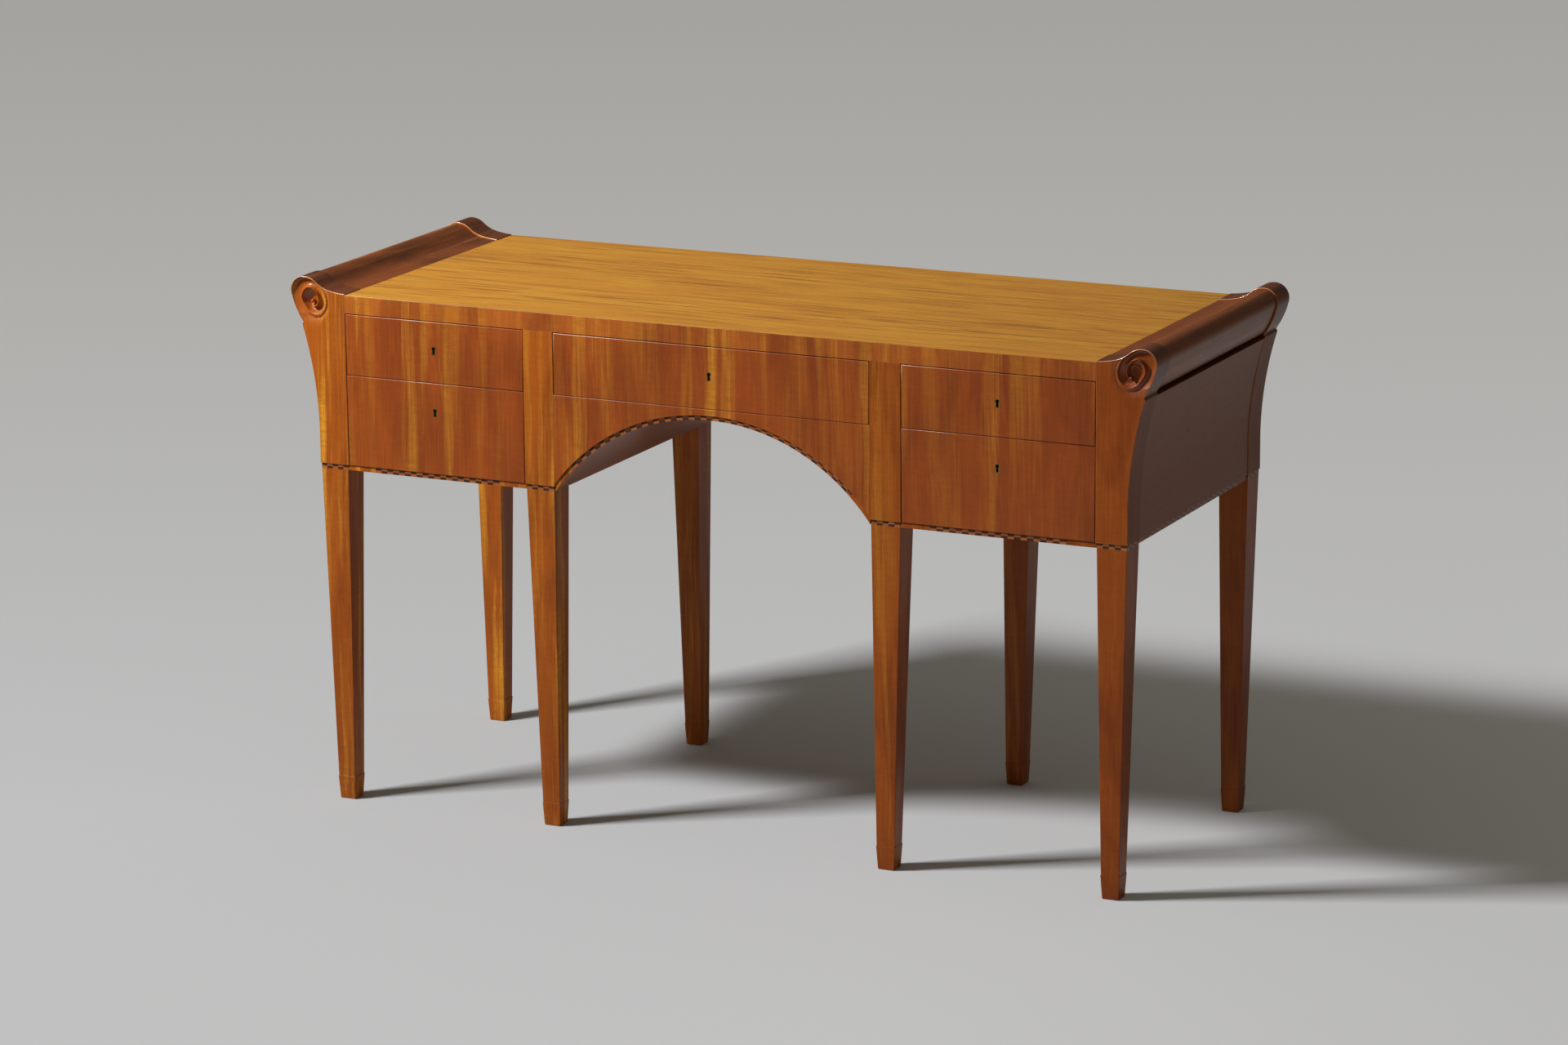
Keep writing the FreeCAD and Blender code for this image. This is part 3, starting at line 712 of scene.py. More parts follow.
@dataclass
class RoundedBoards:
    """Pieces whose shape is the CAD node's, with whole faces and rounded arrises.

    Attributes:
        finish: Finish of the boards.
        nodes: CAD nodes made this way.
        arris: Radius of the rounded arrises in millimetres.
        shortest: Length under which an edge stays sharp.
        front_only: Whether only the front face's arrises are rounded.
        matched: Whether all boards are cut from one run of veneer.
        crease_degrees: Edges that turn more than this are rounded.
        flat_degrees: Faces that turn less than this against each other become one.
        merge: Distance under which two corners are one.
        front_depth: How far behind the foremost corner an edge still counts as the front's.
    """

    finish: WoodFinish | MetalFinish
    nodes: Sequence[str]
    arris: float = 0.35
    shortest: float = 0.0
    front_only: bool = False
    matched: bool = False
    crease_degrees: float = 28.0
    flat_degrees: float = 0.4
    merge: float = 0.002
    front_depth: float = 0.05

    def build(self, shop: Workshop) -> None:
        """Builds every piece.

        Args:
            shop: Workshop that finishes them.
        """
        for node in self.nodes:
            mesh = self.rounded(shop, node)
            mesh.materials.append(shop.material(self.finish))
            shop.finish(mesh, node + "_finished", node)

    def rounded(self, shop: Workshop, node: str) -> bpy.types.Mesh:
        """Copies a CAD node's mesh and rounds its outer arrises.

        Args:
            shop: Workshop that knows the nodes.
            node: CAD node to copy.

        Returns:
            The new mesh.
        """
        work = bmesh.new()
        work.from_mesh(shop.nodes[node].data)
        for layer in list(work.loops.layers.uv):
            work.loops.layers.uv.remove(layer)
        bmesh.ops.remove_doubles(work, verts=work.verts, dist=self.merge * MM)
        flat = math.radians(self.flat_degrees)
        bmesh.ops.dissolve_limit(work, angle_limit=flat, verts=work.verts, edges=work.edges)
        crease = math.radians(self.crease_degrees)
        front = min(vert.co.y for vert in work.verts) + self.front_depth * MM
        outer = [
            edge
            for edge in work.edges
            if len(edge.link_faces) == 2
            and edge.is_convex
            and edge.calc_face_angle() > crease
            and edge.calc_length() > self.shortest * MM
            and (not self.front_only or all(vert.co.y < front for vert in edge.verts))
        ]
        made = bmesh.ops.bevel(
            work,
            geom=outer,
            offset=self.arris * MM,
            offset_type="OFFSET",
            segments=2,
            profile=0.5,
            affect="EDGES",
            clamp_overlap=True,
        )
        arris = work.faces.layers.float.new(ARRIS)
        board = work.faces.layers.float.new(BOARD)
        for face in made["faces"]:
            if face.is_valid:
                face[arris] = 1.0
        if not self.matched:
            for island in islands(work):
                value = shop.random.random()
                for face in island:
                    face[board] = value
        for face in work.faces:
            face.material_index = 0
        mesh = bpy.data.meshes.new(node + "_finished")
        work.to_mesh(mesh)
        work.free()
        return mesh


def islands(work: bmesh.types.BMesh) -> list[list[bmesh.types.BMFace]]:
    """Splits a mesh into its loose parts.

    Args:
        work: The mesh.

    Returns:
        The faces of each loose part.
    """
    parts = []
    seen: set[bmesh.types.BMFace] = set()
    for start in work.faces:
        if start in seen:
            continue
        seen.add(start)
        part = [start]
        for face in part:
            for edge in face.edges:
                for other in edge.link_faces:
                    if other not in seen:
                        seen.add(other)
                        part.append(other)
        parts.append(part)
    return parts


def arc(start: Spot, end: Spot, bulge: float, step: float) -> list[Spot]:
    """Samples an arc after its start.

    Args:
        start: First point.
        end: Last point, included in the result.
        bulge: How far the middle stands off the chord, to the left of the way.
        step: Longest distance between samples.

    Returns:
        The points after start.
    """
    a, b = Vector(start), Vector(end)
    chord = b - a
    count = max(1, math.ceil(chord.length * (1 + abs(bulge) / chord.length) / step))
    if not bulge:
        return [tuple(a.lerp(b, i / count)) for i in range(1, count + 1)]
    half = chord.length / 2
    radius = (half * half + bulge * bulge) / (2 * abs(bulge))
    side = math.copysign(1.0, bulge)
    left = Vector((-chord.y, chord.x)).normalized() * side
    centre = (a + b) / 2 + left * (abs(bulge) - radius)
    first = math.atan2(a.y - centre.y, a.x - centre.x)
    sweep = 2 * math.asin(min(1.0, half / radius))
    if abs(bulge) > half:
        sweep = 2 * math.pi - sweep
    sweep *= -side
    turns = [first + sweep * i / count for i in range(1, count + 1)]
    return [(centre.x + radius * math.cos(turn), centre.y + radius * math.sin(turn)) for turn in turns]


@dataclass(frozen=True)
class Volute:
    """The carved spiral of a post's head: a ridge that winds in to the eye, in millimetres.

    Attributes:
        centre: Centre of the spiral, seen from the front of a right post.
        reach: Greatest distance from the centre to the ridge.
        ridge: Turns in degrees with the ridge's share of the reach there.
        end: Turn at which the ridge has sunk away.
        end_slope: Turn over which it sinks.
        crest: Half width of the ridge's crest.
        crown: How far the crest's sides lie below its middle.
        inner_start: Turn after which the ridge lies lower.
        inner_slope: Turn over which it comes to lie lower.
        inner_drop: How much lower that is.
        ring_start: Turn at which the ridge parts from the post's outline.
        ring_foot: Turn at the foot of the ring.
        ring_spread: Turn to either side over which the crest is wider there.
        ring_crest: How much wider it is.
        depth: Depth of the outer channel.
        eye_depth: Depth of the hollow round the eye.
        eye_rest: How far above that hollow the sunk ridge stays.
        eye_reach: Distance from the centre at which the channel begins to deepen to the hollow.
        eye_slope: Distance over which it deepens.
        wall: Distance over which a channel's wall falls.
        open_wall: How much gentler the outer wall is where the channel opens.
        open_turn: Turn over which, about level with the centre, the wall steepens.
        mouth: Turn over which the channel deepens from its open end.
        meeting: Turn over which the inner wall fades before the ridge's end.
        eye: Balls in the eye: place across, height, radius and depth of the top.
        moat: Depth of the shallow groove outside the ring.
        moat_width: Distance from the ring to that groove's deepest line.
        moat_slope: Turn over which the groove begins.
        moat_mouth: Turn after which it opens into the channel.
        moat_opening: Turn over which it opens.
        moat_deepening: How much deeper it is when open.
        moat_widening: How much wider it is then, as a share of its width.
    """

    centre: Spot = (645.0, 757.0)
    reach: float = 42.2
    ridge: tuple[Spot, ...] = (
        (-75.0, 0.469),
        (-55.0, 0.595),
        (-30.0, 0.718),
        (0.0, 0.789),
        (28.0, 0.969),
        (50.0, 1.0),
        (77.0, 0.858),
        (102.0, 0.675),
        (137.0, 0.562),
        (175.0, 0.521),
        (207.0, 0.519),
        (235.0, 0.515),
        (260.0, 0.474),
        (285.0, 0.415),
        (330.0, 0.36),
        (378.0, 0.474),
        (406.0, 0.519),
        (436.0, 0.512),
        (468.0, 0.344),
        (511.0, 0.223),
        (555.0, 0.19),
        (609.0, 0.182),
        (645.0, 0.166),
    )
    end: float = 676.0
    end_slope: float = 32.0
    crest: float = 0.6
    crown: float = 0.5
    inner_start: float = 500.0
    inner_slope: float = 90.0
    inner_drop: float = 0.9
    ring_start: float = 95.0
    ring_foot: float = 255.0
    ring_spread: float = 50.0
    ring_crest: float = 1.6
    depth: float = 6.2
    eye_depth: float = 10.0
    eye_rest: float = 1.4
    eye_reach: float = 18.0
    eye_slope: float = 10.0
    wall: float = 1.4
    open_wall: float = 8.0
    open_turn: float = 90.0
    mouth: float = 60.0
    meeting: float = 30.0
    eye: tuple[tuple[float, float, float, float], ...] = (
        (647.5, 757.3, 2.3, 1.3),
        (646.4, 750.9, 2.6, 1.5),
    )
    moat: float = 1.5
    moat_width: float = 1.6
    moat_slope: float = 60.0
    moat_mouth: float = 215.0
    moat_opening: float = 110.0
    moat_deepening: float = 2.4
    moat_widening: float = 1.8

    def radius(self, turn: float) -> float:
        """Gives the ridge's distance from the centre.

        Args:
            turn: Turn in degrees, held within the ridge's own turns.

        Returns:
            The distance.
        """
        ridge = self.ridge
        turn = min(max(turn, ridge[0][0]), ridge[-1][0])
        i = max(j for j in range(len(ridge) - 1) if ridge[j][0] <= turn)
        (t0, r0), (t1, r1) = ridge[i], ridge[i + 1]
        before = ridge[max(i - 1, 0)]
        after = ridge[min(i + 2, len(ridge) - 1)]
        slope0 = (r1 - before[1]) / (t1 - before[0])
        slope1 = (after[1] - r0) / (after[0] - t0)
        x, width = (turn - t0) / (t1 - t0), t1 - t0
        share = (2 * x**3 - 3 * x**2 + 1) * r0 + (3 * x**2 - 2 * x**3) * r1
        share += width * ((x**3 - 2 * x**2 + x) * slope0 + (x**3 - x**2) * slope1)
        return self.reach * share

    def half_crest(self, turn: float) -> float:
        """Gives the half width of the ridge's crest at a turn."""
        from_foot = (turn - self.ring_foot) / self.ring_spread
        return self.crest + self.ring_crest * math.exp(-(from_foot**2))

    def level(self, turn: float, off: float) -> float:
        """Gives the depth of the ridge's rounded crest.

        Args:
            turn: Turn in degrees.
            off: Distance from the ridge's middle line.

        Returns:
            The depth below the post's face.
        """
        share = min(1.0, abs(off) / self.half_crest(turn))
        lower = self.inner_drop * smooth((turn - self.inner_start) / self.inner_slope)
        sunk = (self.eye_depth - self.eye_rest) * smooth((turn - self.end + self.end_slope) / self.end_slope)
        return self.crown * share * share + (lower + sunk)

    def groove(self, turn: float, gap: float) -> float:
        """Gives the depth of the groove that runs outside the ring and opens into the channel.

        Args:
            turn: Turn of the ring in degrees.
            gap: Distance from the ring's crest.

        Returns:
            The depth below the post's face.
        """
        opening = smooth((turn - self.moat_mouth) / self.moat_opening)
        share = max(0.0, gap) / (self.moat_width * (1 + self.moat_widening * opening))
        begun = smooth((turn - self.ring_start) / self.moat_slope)
        return (self.moat + self.moat_deepening * opening) * begun * share * math.exp(1 - share)

    def depth_at(self, spot: Vector) -> float:
        """Gives the carving's depth at a point.

        Args:
            spot: The point, seen from the front of a right post.

        Returns:
            The depth below the post's face.
        """
        away = spot - Vector(self.centre)
        radius = away.length
        start = self.ridge[0][0]
        first = (math.degrees(math.atan2(away.y, away.x)) - start) % FULL_TURN + start
        turn = first
        inner = turn + FULL_TURN
        while inner <= self.end and radius < self.radius(inner) + self.half_crest(inner):
            turn = inner
            inner = turn + FULL_TURN
        crest = self.half_crest(turn)
        outside = self.radius(turn) - crest - radius
        inside = radius - self.radius(inner) - self.half_crest(inner)
        if turn == first and first > self.ring_start and outside < 0:
            off = radius - self.radius(turn)
            return self.level(turn, off) * math.exp(-max(0.0, off - crest)) + self.groove(first, off - crest)
        if outside >= 0:
            depth = self.channel(turn, radius, outside, inside)
        elif turn > first or outside > -crest:
            depth = self.level(turn, radius - self.radius(turn))
        else:
            depth = 0.0
        if turn == first and first < self.ring_start:
            opened = smooth((first - start) / self.mouth)
            closed = self.groove(first + FULL_TURN, inside) + self.crown * math.exp(-inside)
            depth = opened * depth + (1 - opened) * closed
        for x, z, size, drop in self.eye:
            off = (spot - Vector((x, z))).length
            if off < size:
                depth = min(depth, drop + size - math.sqrt(size**2 - off**2))
        return depth

    def channel(self, turn: float, radius: float, outside: float, inside: float) -> float:
        """Gives the depth between two turns of the ridge.

        Args:
            turn: Turn of the outer ridge in degrees.
            radius: Distance from the centre.
            outside: Distance from the outer ridge's crest.
            inside: Distance from the inner ridge's crest.

        Returns:
            The depth below the post's face.
        """
        inner = turn + FULL_TURN
        wall = self.wall + self.open_wall * (1 - smooth((turn + self.open_turn / 2) / self.open_turn))
        near_outer = math.exp(-outside / wall)
        near_inner = math.exp(-max(0.0, inside) / self.wall) * smooth((self.end - inner) / self.meeting)
        hollow = smooth((self.eye_reach - radius) / self.eye_slope)
        depth = self.depth + (self.eye_depth - self.depth) * hollow
        depth *= (1 - near_outer) * (1 - near_inner)
        depth += self.level(turn, self.half_crest(turn)) * near_outer
        return depth + self.level(inner, self.half_crest(inner)) * near_inner


def smooth(share: float) -> float:
    """Gives a soft step, 0 up to a share of 0 and 1 from a share of 1."""
    share = min(1.0, max(0.0, share))
    return share * share * (3 - 2 * share)


@dataclass
class ScrollPosts:
    """The four outer posts, each with its leg and a carved scroll, in millimetres.

    Attributes:
        face_x: Straight outer face of the post.
        size: Width and depth of the post.
        half_depth: Middle of the desk to the post's front.
        stile_foot: Height where the post narrows into the leg.
        flare_foot: Height above that at which the outer side begins to flare.
        top: Height of the desk top.
        head: Arcs round the head, each with its end, measured from the outer face and the desk top, and its
            bulge.
        head_end: Height over the desk top, and bulge, of the arc that ends at the post's inner face.
        leg_size: Width of the leg under the post.
        band_height: Height of the checked ring.
        band_thickness: Thickness of the checked ring.
        foot_line: Height of the foot block's upper edge.
        foot_line_size: Width of the leg there.
        block_size: Width of the foot block there.
        block_lip: How much narrower the block's upper edge is, and over what height.
        foot_size: Width of the foot near the floor.
        foot_rounding: How much narrower the foot is at heights above the floor.
        foot_shift: How far the foot stands nearer the desk's middle than the post.
        foot_forward: How far the foot stands further forward than the post.
        arris: Radius of the rounded arrises.
        step: Distance between the samples of a curve.
        rings: Number of rings in the carved face.
        head_foot: How far below the desk top the carved face begins.
        head_middle: How far below the desk top its rings meet.
        ledge: Height of the ledge under the head.
        face_depth: How far behind the front a side face's middle lies at least.
        crease_degrees: Edges that turn more than this stay sharp.
        left_volute: The carved spiral of the left posts.
        right_volute: That of the right posts, wound a little less.
    """

    face_x: float = 640.0
    size: float = 48.0
    half_depth: float = 257.5
    stile_foot: float = 515.0
    flare_foot: float = 45.0
    top: float = 770.0
    head: tuple[Point, ...] = (
        (24.3, -48.5, 6.1),
        (22.3, -44.8, 0.0),
        (40.7, -5.6, -1.9),
        (19.5, 23.1, -9.4),
        (0.5, 16.2, -1.75),
        (-18.0, 5.8, 1.15),
    )
    head_end: Spot = (1.2, 0.85)
    leg_size: float = 45.0
    band_height: float = 7.5
    band_thickness: float = 1.0
    foot_line: float = 35.0
    foot_line_size: float = 27.6
    block_size: float = 28.8
    block_lip: Spot = (0.5, 0.4)
    foot_size: float = 24.8
    foot_rounding: tuple[Spot, ...] = ((0.0, 1.2), (0.7, 0.4), (2.4, 0.0))
    foot_shift: float = 2.0
    foot_forward: float = 3.6
    arris: float = 0.7
    step: float = 1.0
    rings: int = 110
    head_foot: float = 62.0
    head_middle: float = 18.0
    ledge: float = 721.5
    face_depth: float = 16.0
    crease_degrees: float = 60.0
    left_volute: Volute = Volute()
    right_volute: Volute = Volute(end=638.0, eye=((642.0, 750.8, 2.2, 1.4),))

    def outline(self) -> tuple[list[Spot], int]:
        """Samples the post's outline, seen from the front.

        Returns:
            The points, from the lower inner corner round by the outer side, and the
            number of the point on the outer side where the carved face begins.
        """
        x, z = self.face_x, self.top
        points: list[Spot] = [(x - self.size, self.stile_foot), (x, self.stile_foot)]
        points.append((x, self.stile_foot + self.flare_foot))
        for dx, dz, bulge in (*self.head, (-self.size, *self.head_end)):
            points += arc(points[-1], (x + dx, z + dz), bulge, self.step)
        outer = [i for i, spot in enumerate(points) if spot[0] >= x]
        split = min(outer, key=lambda i: abs(points[i][1] - (z - self.head_foot)))
        points += arc(points[-1], (x - self.size, points[split][1]), 0.0, self.step)
        return points, split

    def mesh(self, right: bool, front: bool) -> bpy.types.Mesh:
        """Builds one post.

        Args:
            right: Whether it is a right post.
            front: Whether it is a front post.

        Returns:
            The mesh, in metres.
        """
        shape = MeshParts(1.0 if right else -1.0, 1.0 if front else -1.0)
        outline, split = self.outline()
        face_y, back_y = -self.half_depth, -self.half_depth + self.size
        middle = self.arris * ARRIS_MIDDLE
        inner = inset(outline, self.arris)
        mid = inset(outline, middle)
        loops = [
            shape.loop(inner, face_y),
            shape.loop(mid, face_y + middle),
            shape.loop(outline, face_y + self.arris),
            shape.loop(outline, back_y - self.arris),
            shape.loop(mid, back_y - middle),
            shape.loop(inner, back_y),
        ]
        for before, after in zip(loops, loops[1:]):
            shape.band(before, after, 0.0 if before is loops[2] else 1.0)
        shape.face(loops[-1])
        self.carved_face(shape, loops[0], inner, split, self.right_volute if right else self.left_volute)
        self.leg(shape, front)
        return shape.mesh("post_outer")

    def carved_face(
        self, shape: MeshParts, loop: Sequence[int], flat: Sequence[Spot], split: int, volute: Volute
    ) -> None:
        """Closes the front: a plain lower part and a carved head.

        Args:
            shape: Mesh being built.
            loop: Vertex numbers round the front face.
            flat: The same points, seen from the front.
            split: Number of the point where the carved head begins.
            volute: The carved spiral.
        """
        face_y = -self.half_depth
        last = len(loop) - 1
        chord = arc(flat[last], flat[split], 0.0, self.step)[:-1]
        chord_loop = shape.loop(chord, face_y)
        shape.face([loop[0], *loop[1 : split + 1], *reversed(chord_loop), loop[last]][::-1])
        rim = [*chord_loop, *loop[split:]]
        rim_flat = [*chord, *flat[split:]]
        centre = Vector((self.face_x, self.top - self.head_middle))
        before = rim
        for ring in range(1, self.rings):
            share = 1 - ring / self.rings
            spots = [centre + (Vector(spot) - centre) * share for spot in rim_flat]
            now = [shape.vertex(spot.x, face_y + volute.depth_at(spot), spot.y) for spot in spots]
            shape.band(now, before)
            before = now
        middle = shape.vertex(centre.x, face_y + volute.depth_at(centre), centre.y)
        for i in range(len(before)):
            shape.face([before[i - 1], before[i], middle][::-1])

    def leg(self, shape: MeshParts, front: bool) -> None:
        """Adds the leg with its foot block.

        Args:
            shape: Mesh being built.
            front: Whether it is a front post.
        """
        top_x = self.face_x - self.size / 2
        top_y = -self.half_depth + self.size / 2
        foot_x = top_x - self.foot_shift
        foot_y = top_y - self.foot_forward * (1 if front else -1)
        ring_size = self.leg_size - 2 * self.band_thickness
        band_foot = self.stile_foot - self.band_height
        lip, lip_height = self.block_lip
        levels = [
            (top_x, top_y, ring_size, self.stile_foot),
            (top_x, top_y, ring_size, band_foot),
            (top_x, top_y, self.leg_size, band_foot),
            (foot_x, foot_y, self.foot_line_size, self.foot_line),
            (foot_x, foot_y, self.block_size - lip, self.foot_line),
            (foot_x, foot_y, self.block_size, self.foot_line - lip_height),
        ]
        levels += [(foot_x, foot_y, self.foot_size - less, height) for less, height in self.foot_rounding]
        loops = [shape.ring(x, y, size, z, self.arris) for x, y, size, z in levels]
        shape.face(loops[0])
        for before, after in zip(loops, loops[1:]):
            shape.band(before, after)
        shape.face(loops[-1][::-1])

    def build(self, shop: Workshop) -> None:
        """Builds the four posts.

        Args:
            shop: Workshop that finishes them.
        """
        for depth in ("front", "back"):
            for side in ("left", "right"):
                node = f"post_outer_{depth}_{side}"
                mesh = self.mesh(side == "right", depth == "front")
                layer = mesh.attributes.new(BOARD, "FLOAT", "FACE")
                layer.data.foreach_set("value", [shop.random.random()] * len(mesh.polygons))
                self.dress(mesh, shop)
                shop.finish(mesh, node + "_carved", node, self.crease_degrees)

    def dress(self, mesh: bpy.types.Mesh, shop: Workshop) -> None:
        """Gives each face of a post its finish: front, side with painted shade, stained upper end or carving.

        Args:
            mesh: The post's mesh.
            shop: Workshop that gives the materials.
        """
        finishes = (POST, POST_SIDE_WITH_PAINTED_SHADE, STRAP, CARVING)
        for finish in finishes:
            mesh.materials.append(shop.material(finish))
        side, strap, carving = (finishes.index(finish) for finish in (POST_SIDE_WITH_PAINTED_SHADE, STRAP, CARVING))
        for face in mesh.polygons:
            forward, height = abs(face.normal.y), face.center.z
            on_side = forward < SIDEWAYS and abs(face.center.y) < (self.half_depth - self.face_depth) * MM
            if on_side and height > self.stile_foot * MM:
                face.material_index = strap if height > self.ledge * MM else side
            elif height > (self.top - self.head_foot) * MM and forward < SQUARE_ON:
                face.material_index = carving


class MeshParts:
    """Collects the vertices and faces of one mesh, mirrored as asked."""

    def __init__(self, flip_x: float, flip_y: float) -> None:
        """Starts an empty mesh.

        Args:
            flip_x: 1, or -1 to mirror across the desk.
            flip_y: 1, or -1 to mirror from front to back.
        """
        self.flip = (flip_x, flip_y)
        self.points: list[Point] = []
        self.faces: list[list[int]] = []
        self.arris: list[float] = []

    def vertex(self, x: float, y: float, z: float) -> int:
        """Adds a vertex given in millimetres, and gives its number."""
        self.points.append((x * MM * self.flip[0], y * MM * self.flip[1], z * MM))
        return len(self.points) - 1

    def loop(self, spots: Iterable[Spot], y: float) -> list[int]:
        """Adds a run of upright points at one depth, and gives the vertex numbers."""
        return [self.vertex(x, y, z) for x, z in spots]

    def ring(self, x: float, y: float, size: float, z: float, corner: float) -> list[int]:
        """Adds a level square with clipped corners.

        Args:
            x: Middle of the square across the desk.
            y: Middle of the square from front to back.
            size: Width of the square.
            z: Height of the square.
            corner: How much of each corner is clipped.

        Returns:
            The vertex numbers, anticlockwise seen from above.
        """
        half = size / 2
        clip = corner * ARRIS_MIDDLE
        quarter = [(half, half - corner), (half - clip, half - clip), (half - corner, half)]
        spots = []
        for cos, sin in ((1, 0), (0, 1), (-1, 0), (0, -1)):
            spots += [(px * cos - py * sin, px * sin + py * cos) for px, py in quarter]
        return [self.vertex(x + px, y + py, z) for px, py in spots]

    def face(self, loop: Sequence[int], arris: float = 0.0) -> None:
        """Adds a face.

        Args:
            loop: Vertex numbers, anticlockwise seen from outside.
            arris: 1 on a rounded arris.
        """
        loop = list(loop)
        self.faces.append(loop[::-1] if self.flip[0] * self.flip[1] < 0 else loop)
        self.arris.append(arris)

    def band(self, before: Sequence[int], after: Sequence[int], arris: float = 0.0) -> None:
        """Joins two closed runs of equally many vertices with a band of faces, on an arris or not."""
        for i in range(len(before)):
            self.face([before[i - 1], after[i - 1], after[i], before[i]], arris)

    def mesh(self, name: str) -> bpy.types.Mesh:
        """Makes the mesh.

        Args:
            name: Name of the mesh.

        Returns:
            The mesh, with its arris marks.
        """
        mesh = bpy.data.meshes.new(name)
        mesh.from_pydata(self.points, [], self.faces)
        mesh.attributes.new(ARRIS, "FLOAT", "FACE").data.foreach_set("value", self.arris)
        return mesh


def inset(outline: Sequence[Spot], distance: float) -> list[Spot]:
    """Moves every point of a closed outline inward.

    Args:
        outline: Points, anticlockwise.
        distance: How far each side moves.

    Returns:
        The moved points.
    """
    moved = []
    count = len(outline)
    for i, spot in enumerate(outline):
        here = Vector(spot)
        before = (here - Vector(outline[i - 1])).normalized()
        after = (Vector(outline[(i + 1) % count]) - here).normalized()
        first, second = Vector((-before.y, before.x)), Vector((-after.y, after.x))
        middle = (first + second).normalized()
        moved.append(tuple(here + middle * (distance / max(0.5, middle.dot(first)))))
    return moved


